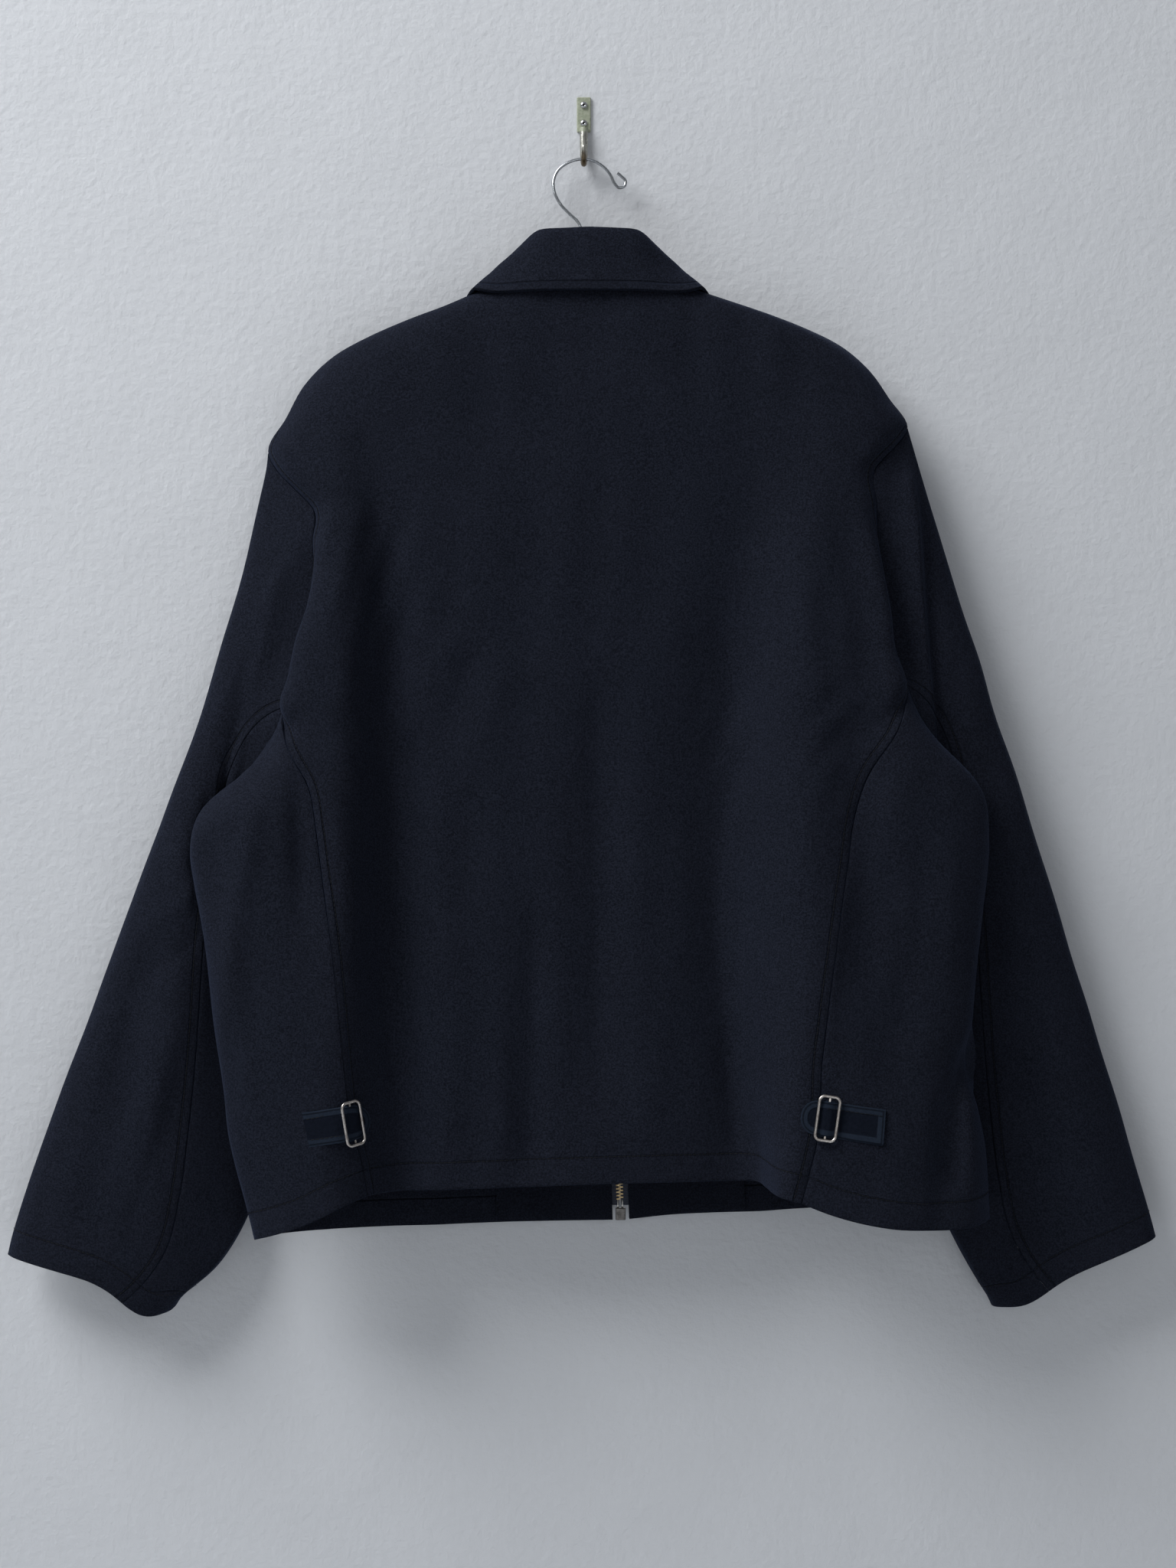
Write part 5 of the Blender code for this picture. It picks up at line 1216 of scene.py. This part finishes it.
def strap_outline(strap):
    """(x, drop) places over a strap, in rows along it, with the sewn end's slant and the round tip."""
    start, end = (np.array(place, float) for place in (strap.sewn, strap.tip))
    length = float(np.hypot(*(end - start)))
    along = (end - start) / length
    aside = np.array((-along[1], along[0]))
    half = STRAP_WIDTH / 2
    rows, columns = STRAP_CELLS
    places = np.zeros((rows, columns, 2))
    for i, share in enumerate(np.linspace(-1, 1, rows)):
        round_end = length - half + half * sqrt(max(1 - abs(share) ** 2.2, 0.0))
        first = 0.4 + abs(strap.slant) * (share + 1) / 2 * 0.5
        for j, run in enumerate(np.linspace(first, round_end - 0.1, columns)):
            places[i, j] = start + along * run + aside * share * half
    return places


def add_strap(strap, material):
    """A strap of doubled wool with a paler, stitched border."""
    node = "strap_" + strap.name
    thing, grid, _ = laid_cloth(node, strap_outline(strap), material, STRAP_CLOTH)
    points = points_of(thing)
    tip_side = "right" if (grid[0, -1, 0] > grid[0, 0, 0]) == (strap.tip[0] > strap.sewn[0]) else "left"
    ends = ("left", "right") if strap.name == "right" else (tip_side,)
    store(thing, "border", distances(points, [edge_line(grid, side) for side in ("top", "low", *ends)]))
    stand_for(thing, node)
    tree = surface_tree(thing)
    rows = [offset_row(line, tree, STRAP_BORDER) for line in (edge_line(grid, "top"), edge_line(grid, "low"))]
    SEWING.setdefault("straps", []).extend(rows)


def strap_finish(name):
    """Wool with a smoother, bluish border that is a little paler than its middle."""
    made = Finish(name, 0.9)
    clumps = made.noise(520.0, 3.0, 0.6)
    border = made.spread(made.attribute("border"), STRAP_BORDER + 0.5, STRAP_BORDER - 0.5)
    middle = made.blend(clumps, (0.0016, 0.0026, 0.0052), (0.0080, 0.0108, 0.0190))
    edge = made.blend(clumps, (0.0085, 0.0125, 0.0215), (0.0180, 0.0255, 0.0400))
    line = made.spread(made.apart(made.attribute("border"), STRAP_STITCH), 0.2, 0.8, 0.7, 0.0)
    made.colour(made.blend(line, made.blend(border, middle, edge), (0.002, 0.003, 0.005)))
    made.bump(border, 0.0005)
    made.bump(clumps, 0.0003, 0.8)
    made.shader.inputs["Specular IOR Level"].default_value = 0.05
    made.sheen(0.05, 0.4, (0.3, 0.42, 0.8))
    return made.material


def carried(node, material, body=BODY, soften=0.3, sharp=38):
    """A hard piece: the solid's own form with shared points, rounded edges and a smooth finish."""
    mesh = merged(node)
    bmesh.ops.join_triangles(
        mesh, faces=mesh.faces[:], angle_face_threshold=radians(25), angle_shape_threshold=radians(60)
    )
    data = finished_mesh("fine_" + node, mesh)
    data.shade_smooth()
    thing = add_piece("fine_" + node, data, material, body)
    soften_edges(thing, soften, sharp)
    even = thing.modifiers.new("Even shading", "WEIGHTED_NORMAL")
    even.keep_sharp = True
    stand_for(thing, node)


def tooth_mesh():
    """One zip tooth, its head towards +X."""
    mesh = bmesh.new()
    bmesh.ops.create_cube(mesh, size=MM)
    along, across, deep = TOOTH
    bmesh.ops.scale(mesh, vec=(across, deep, along), verts=mesh.verts[:])
    head = [face for face in mesh.faces if face.normal.x > 0.9]
    bmesh.ops.scale(mesh, vec=(1.0, 0.8, 1.25), verts=head[0].verts[:])
    bmesh.ops.bevel(
        mesh, geom=mesh.edges[:], offset=0.14 * MM, segments=1, profile=0.5, affect="EDGES", material=-1
    )
    return finished_mesh("tooth", mesh)


def zip_depth(tree, drop):
    """The depth of the tape's room side at the zip's line, in metres."""
    x = (centre_front(drop) + TAPE_EDGE + 3.0) * MM
    place, _, _, _ = tree.ray_cast(Vector((x, -1.0, -drop * MM)), Vector((0, 1, 0)))
    return place.y if place else -0.011


def add_teeth(side, tree, material):
    """The row of teeth that one tape holds."""
    tooth = tooth_mesh()
    mesh = bmesh.new()
    start = ZIP_RUN[0] + (0 if side < 0 else TOOTH_PITCH / 2)
    slope = Matrix.Rotation(ZIP_SLOPE, 4, "Y").inverted()
    for i in range(int((ZIP_RUN[1] - start) / TOOTH_PITCH) + 1):
        drop = start + i * TOOTH_PITCH
        first = len(mesh.verts)
        mesh.from_mesh(tooth)
        mesh.verts.ensure_lookup_table()
        place = ((centre_front(drop) + side * TOOTH_ASIDE) * MM, zip_depth(tree, drop) + TEETH_RISE * MM, -drop * MM)
        placing = Matrix.Translation(place) @ slope
        if side > 0:
            placing = placing @ Matrix.Rotation(pi, 4, "Z")
        bmesh.ops.transform(mesh, matrix=placing, verts=mesh.verts[first:])
    name = "zip_teeth_" + ("left" if side < 0 else "right")
    bpy.data.meshes.remove(tooth)
    data = finished_mesh(name, mesh)
    data.shade_flat()
    add_piece(name, data, material)


def add_tape(side, material):
    """One woven zip tape, and the faces of its solid."""
    hand = "left" if side < 0 else "right"
    rows, columns = TAPE_CELLS
    drops = np.linspace(*TAPE_RUN, rows)
    offsets = np.linspace(TAPE_EDGE, TAPE_WIDTH - 0.2, columns)
    places = np.array([[(centre_front(drop) + side * offset, drop) for offset in offsets] for drop in drops])
    thing, _, tree = laid_cloth("zip_tape_" + hand, places, material, TAPE_CLOTH)
    stand_for(thing, "zip_tape_" + hand)
    return tree


def add_pins(material, depth):
    """The two pins that stand in the zip's box."""
    mesh = bmesh.new()
    length, radius = PIN
    for side in (-1, 1):
        first = len(mesh.verts)
        bmesh.ops.create_cone(
            mesh, cap_ends=True, segments=16, radius1=radius * MM, radius2=radius * MM, depth=length * MM
        )
        mesh.verts.ensure_lookup_table()
        centre = ((centre_front(PIN_DROP) + side * PIN_ASIDE) * MM, depth, -PIN_DROP * MM)
        bmesh.ops.translate(mesh, vec=centre, verts=mesh.verts[first:])
    data = finished_mesh("zip_pins", mesh)
    data.shade_smooth()
    thing = add_piece("zip_pins", data, material)
    soften_edges(thing, 0.2, 30, 1)


def rounded_loop(length, width, radius, bow):
    """Points round a rectangle whose corners are round and whose two short ends bow outward."""
    points = []
    for corner, (along, across) in enumerate(((1, 1), (-1, 1), (-1, -1), (1, -1))):
        for step in range(9):
            turn = pi / 2 * (corner + step / 8)
            u = along * (length / 2 - radius) + radius * cos(turn)
            v = across * (width / 2 - radius) + radius * sin(turn)
            points.append((u, v + (1 if v > 0 else -1) * bow * cos(pi * u / length)))
    return points


def add_buckle(strap, material):
    """A slide buckle: a bent wire frame over the strap, with a flat bar across under it."""
    node = "buckle_" + strap.name
    flat = np.array([vert.co[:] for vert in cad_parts[node].data.vertices])
    centre = (flat.max(axis=0) + flat.min(axis=0)) / 2
    way = np.linalg.svd(flat - flat.mean(axis=0), full_matrices=False)[2]
    across, along, normal = (Vector(row) for row in way)
    if normal.y > 0:
        normal = -normal
    along = across.cross(normal)
    rim = float(((flat - centre) @ np.array(normal)).max())
    placing = Matrix((along, across, normal)).transposed().to_4x4()
    placing.translation = Vector(centre)
    width, length, corner, radius, bow = BUCKLE
    loop = rounded_loop(width - 2 * radius, length - 2 * radius - 2 * bow, corner, bow)
    data = bent_wire(
        "fine_" + node, [(u * MM, v * MM, rim - radius * MM * 0.95) for u, v in loop], radius * MM, cyclic=True
    )
    mesh = bmesh.new()
    mesh.from_mesh(data)
    bmesh.ops.remove_doubles(mesh, verts=mesh.verts[:], dist=0.000001)
    first = len(mesh.verts)
    bmesh.ops.create_cube(mesh, size=MM)
    mesh.verts.ensure_lookup_table()
    bar = mesh.verts[first:]
    bmesh.ops.scale(mesh, vec=(1.2, length - 2.0, 0.7), verts=bar)
    bmesh.ops.translate(mesh, vec=(0, 0, rim - (radius + 1.25) * MM), verts=bar)
    bmesh.ops.transform(mesh, matrix=placing, verts=mesh.verts[:])
    bmesh.ops.recalc_face_normals(mesh, faces=mesh.faces[:])
    mesh.to_mesh(data)
    mesh.free()
    data.name = "fine_" + node
    data.shade_smooth()
    data.set_sharp_from_angle(angle=radians(50))
    stand_for(add_piece("fine_" + node, data, material), node)


class JACKET_OT_straps(bpy.types.Operator):
    """Build the two adjuster straps and their slide buckles"""

    bl_idname = "jacket.straps"
    bl_label = "Straps"

    def execute(self, context):
        wool = strap_finish("strap_wool_cloth")
        nickel = metal_finish("nickel_plate", (0.50, 0.47, 0.44), (0.26, 0.23, 0.21), 0.24)
        for strap in STRAPS:
            add_strap(strap, wool)
            add_buckle(strap, nickel)
        return {"FINISHED"}


class JACKET_OT_zip(bpy.types.Operator):
    """Build the zip: its tapes, teeth, slider, pull tab, pins and box"""

    bl_idname = "jacket.zip"
    bl_label = "Zip"

    def execute(self, context):
        brass = metal_finish("zip_brass_metal", (0.52, 0.40, 0.22), (0.28, 0.20, 0.11), 0.3)
        pewter = metal_finish("zip_box_metal", (0.20, 0.19, 0.18), (0.11, 0.105, 0.10), 0.45)
        silver = metal_finish("pin_metal", (0.62, 0.61, 0.58), (0.4, 0.38, 0.35), 0.25)
        tape = tape_finish("zip_tape_cloth")
        add_tape(-1, tape)
        tree = add_tape(1, tape)
        for side in (-1, 1):
            add_teeth(side, tree, brass)
        add_pins(silver, zip_depth(tree, 780.0) + TEETH_RISE * MM)
        carried("zip_box", pewter)
        carried("zip_slider", brass)
        carried("zip_pull", brass, body=TAB)
        return {"FINISHED"}


def bent_wire(name, points, radius, cyclic=False):
    """The mesh of a round wire bent through points, in metres."""
    wire = bpy.data.curves.new(name, "CURVE")
    wire.dimensions = "3D"
    wire.bevel_depth = radius
    wire.bevel_resolution = 4
    wire.use_fill_caps = not cyclic
    line = wire.splines.new("POLY")
    line.points.add(len(points) - 1)
    line.use_cyclic_u = cyclic
    for point, place in zip(line.points, points):
        point.co = (*place, 1.0)
    bent = bpy.data.objects.new(name, wire)
    data = bpy.data.meshes.new_from_object(bent)
    bpy.data.objects.remove(bent)
    bpy.data.curves.remove(wire)
    return data


def wire_places():
    """Points down the middle of the hanger's wire, from the bar to its free eye."""
    rows = np.array(WIRE_ROWS, float)
    knots = np.concatenate([[0.0], np.cumsum(np.hypot(*np.diff(rows, axis=0).T))])
    fine = spline_weights(knots, np.linspace(0, knots[-1], 260)) @ rows
    top = rows[:, 1].min()
    depth = WIRE_DEPTHS[0] + (WIRE_DEPTHS[1] - WIRE_DEPTHS[0]) * eased((fine[:, 1] - top) / (rows[0, 1] - top))
    return np.column_stack([fine[:, 0], -depth, -fine[:, 1]]) * MM


class JACKET_OT_hanger(bpy.types.Operator):
    """Finish the wooden hanger bar and its chromed wire hook"""

    bl_idname = "jacket.hanger"
    bl_label = "Hanger"

    def execute(self, context):
        carried("hanger_bar", wood_finish("varnished_wood"), soften=1.0)
        chrome = metal_finish("chrome_wire_metal", (0.44, 0.46, 0.48), (0.34, 0.36, 0.38), 0.14)
        data = bent_wire("fine_hanger_wire", wire_places(), WIRE_RADIUS * MM)
        data.name = "fine_hanger_wire"
        data.shade_smooth()
        stand_for(add_piece("fine_hanger_wire", data, chrome), "hanger_wire")
        return {"FINISHED"}


class JACKET_OT_wall_hook(bpy.types.Operator):
    """Finish the wall hook and its two screws"""

    bl_idname = "jacket.wall_hook"
    bl_label = "Wall hook"

    def execute(self, context):
        carried("wall_hook", paint_finish("hook_paint"), soften=0.35, sharp=50)
        chrome = screw_finish("screw_metal")
        for node in ("screw_top", "screw_low"):
            carried(node, chrome, soften=0.4)
        return {"FINISHED"}


class JACKET_OT_stage(bpy.types.Operator):
    """Set up the wall, the floor, the lights and the camera"""

    bl_idname = "jacket.stage"
    bl_label = "Stage"

    def execute(self, context):
        scene = context.scene
        studio = scene.jacket_studio
        wall_paint = wall_finish("wall_paint", tuple(studio.wall))
        for name, turn, place in (
            ("stage_wall", Matrix.Rotation(pi / 2, 4, "X"), (0, 0, FLOOR + STAGE_REACH)),
            ("stage_floor", Matrix.Identity(4), (0, -STAGE_REACH, FLOOR)),
        ):
            mesh = bmesh.new()
            bmesh.ops.create_grid(
                mesh, x_segments=1, y_segments=1, size=STAGE_REACH, matrix=Matrix.Translation(place) @ turn
            )
            data = finished_mesh(name, mesh)
            data.materials.append(wall_paint)
            thing = bpy.data.objects.new(name, data)
            thing.visible_shadow = name == "stage_floor"
            scene.collection.objects.link(thing)
        world = bpy.data.worlds.new("studio")
        world.use_nodes = True
        sky = world.node_tree.nodes["Background"]
        sky.inputs["Color"].default_value = (0.94, 0.96, 1.0, 1.0)
        sky.inputs["Strength"].default_value = studio.fill
        scene.world = world
        for name, place, aim, size, power, tint in (
            ("key", (-2.05, -1.4, 2.0), (-0.15, 0, 0.0), 2.2, studio.key, (0.98, 0.988, 1.0)),
            ("fill", (0.5, -3.4, -0.3), (0, 0, -0.5), 1.6, studio.key * 0.05, (0.97, 0.98, 1.0)),
            ("rear", (0.6, 2.8, 0.8), (0, 0, -0.5), 2.4, studio.key * 0.32, (1.0, 1.0, 1.0)),
        ):
            lamp = bpy.data.lights.new(name, "AREA")
            lamp.shape = "DISK"
            lamp.size = size
            lamp.energy = power
            lamp.color = tint
            thing = bpy.data.objects.new(name, lamp)
            thing.location = place
            thing.rotation_euler = (Vector(aim) - Vector(place)).to_track_quat("-Z", "Y").to_euler()
            thing.visible_camera = False
            scene.collection.objects.link(thing)
        lens = bpy.data.cameras.new("camera")
        lens.lens = LENS
        lens.sensor_width = SENSOR
        camera = bpy.data.objects.new("camera", lens)
        camera.location = CAMERA
        camera.rotation_euler = (pi / 2, 0, 0)
        scene.collection.objects.link(camera)
        scene.camera = camera
        scene.view_settings.view_transform = "Standard"
        return {"FINISHED"}


class JACKET_PT_panel(bpy.types.Panel):
    """The jacket's builders"""

    bl_idname = "JACKET_PT_panel"
    bl_label = "Jacket"
    bl_space_type = "VIEW_3D"
    bl_region_type = "UI"
    bl_category = "Jacket"

    def draw(self, context):
        for operator in OPERATORS:
            self.layout.operator(operator.bl_idname)


SETTINGS = (
    ("jacket_cloth", JacketCloth),
    ("jacket_trim", JacketTrim),
    ("jacket_studio", JacketStudio),
)
OPERATORS = (
    JACKET_OT_stage,
    JACKET_OT_body,
    JACKET_OT_sleeves,
    JACKET_OT_collar,
    JACKET_OT_straps,
    JACKET_OT_sewing,
    JACKET_OT_zip,
    JACKET_OT_hanger,
    JACKET_OT_wall_hook,
)


def register():
    for name, group in SETTINGS:
        bpy.utils.register_class(group)
        setattr(bpy.types.Scene, name, PointerProperty(type=group))
    for operator in OPERATORS:
        bpy.utils.register_class(operator)
    bpy.utils.register_class(JACKET_PT_panel)


def unregister():
    bpy.utils.unregister_class(JACKET_PT_panel)
    for operator in reversed(OPERATORS):
        bpy.utils.unregister_class(operator)
    for name, group in reversed(SETTINGS):
        delattr(bpy.types.Scene, name)
        bpy.utils.unregister_class(group)


def main():
    register()
    for operator in OPERATORS:
        group, name = operator.bl_idname.split(".")
        getattr(getattr(bpy.ops, group), name)()


if __name__ == "__main__":
    main()
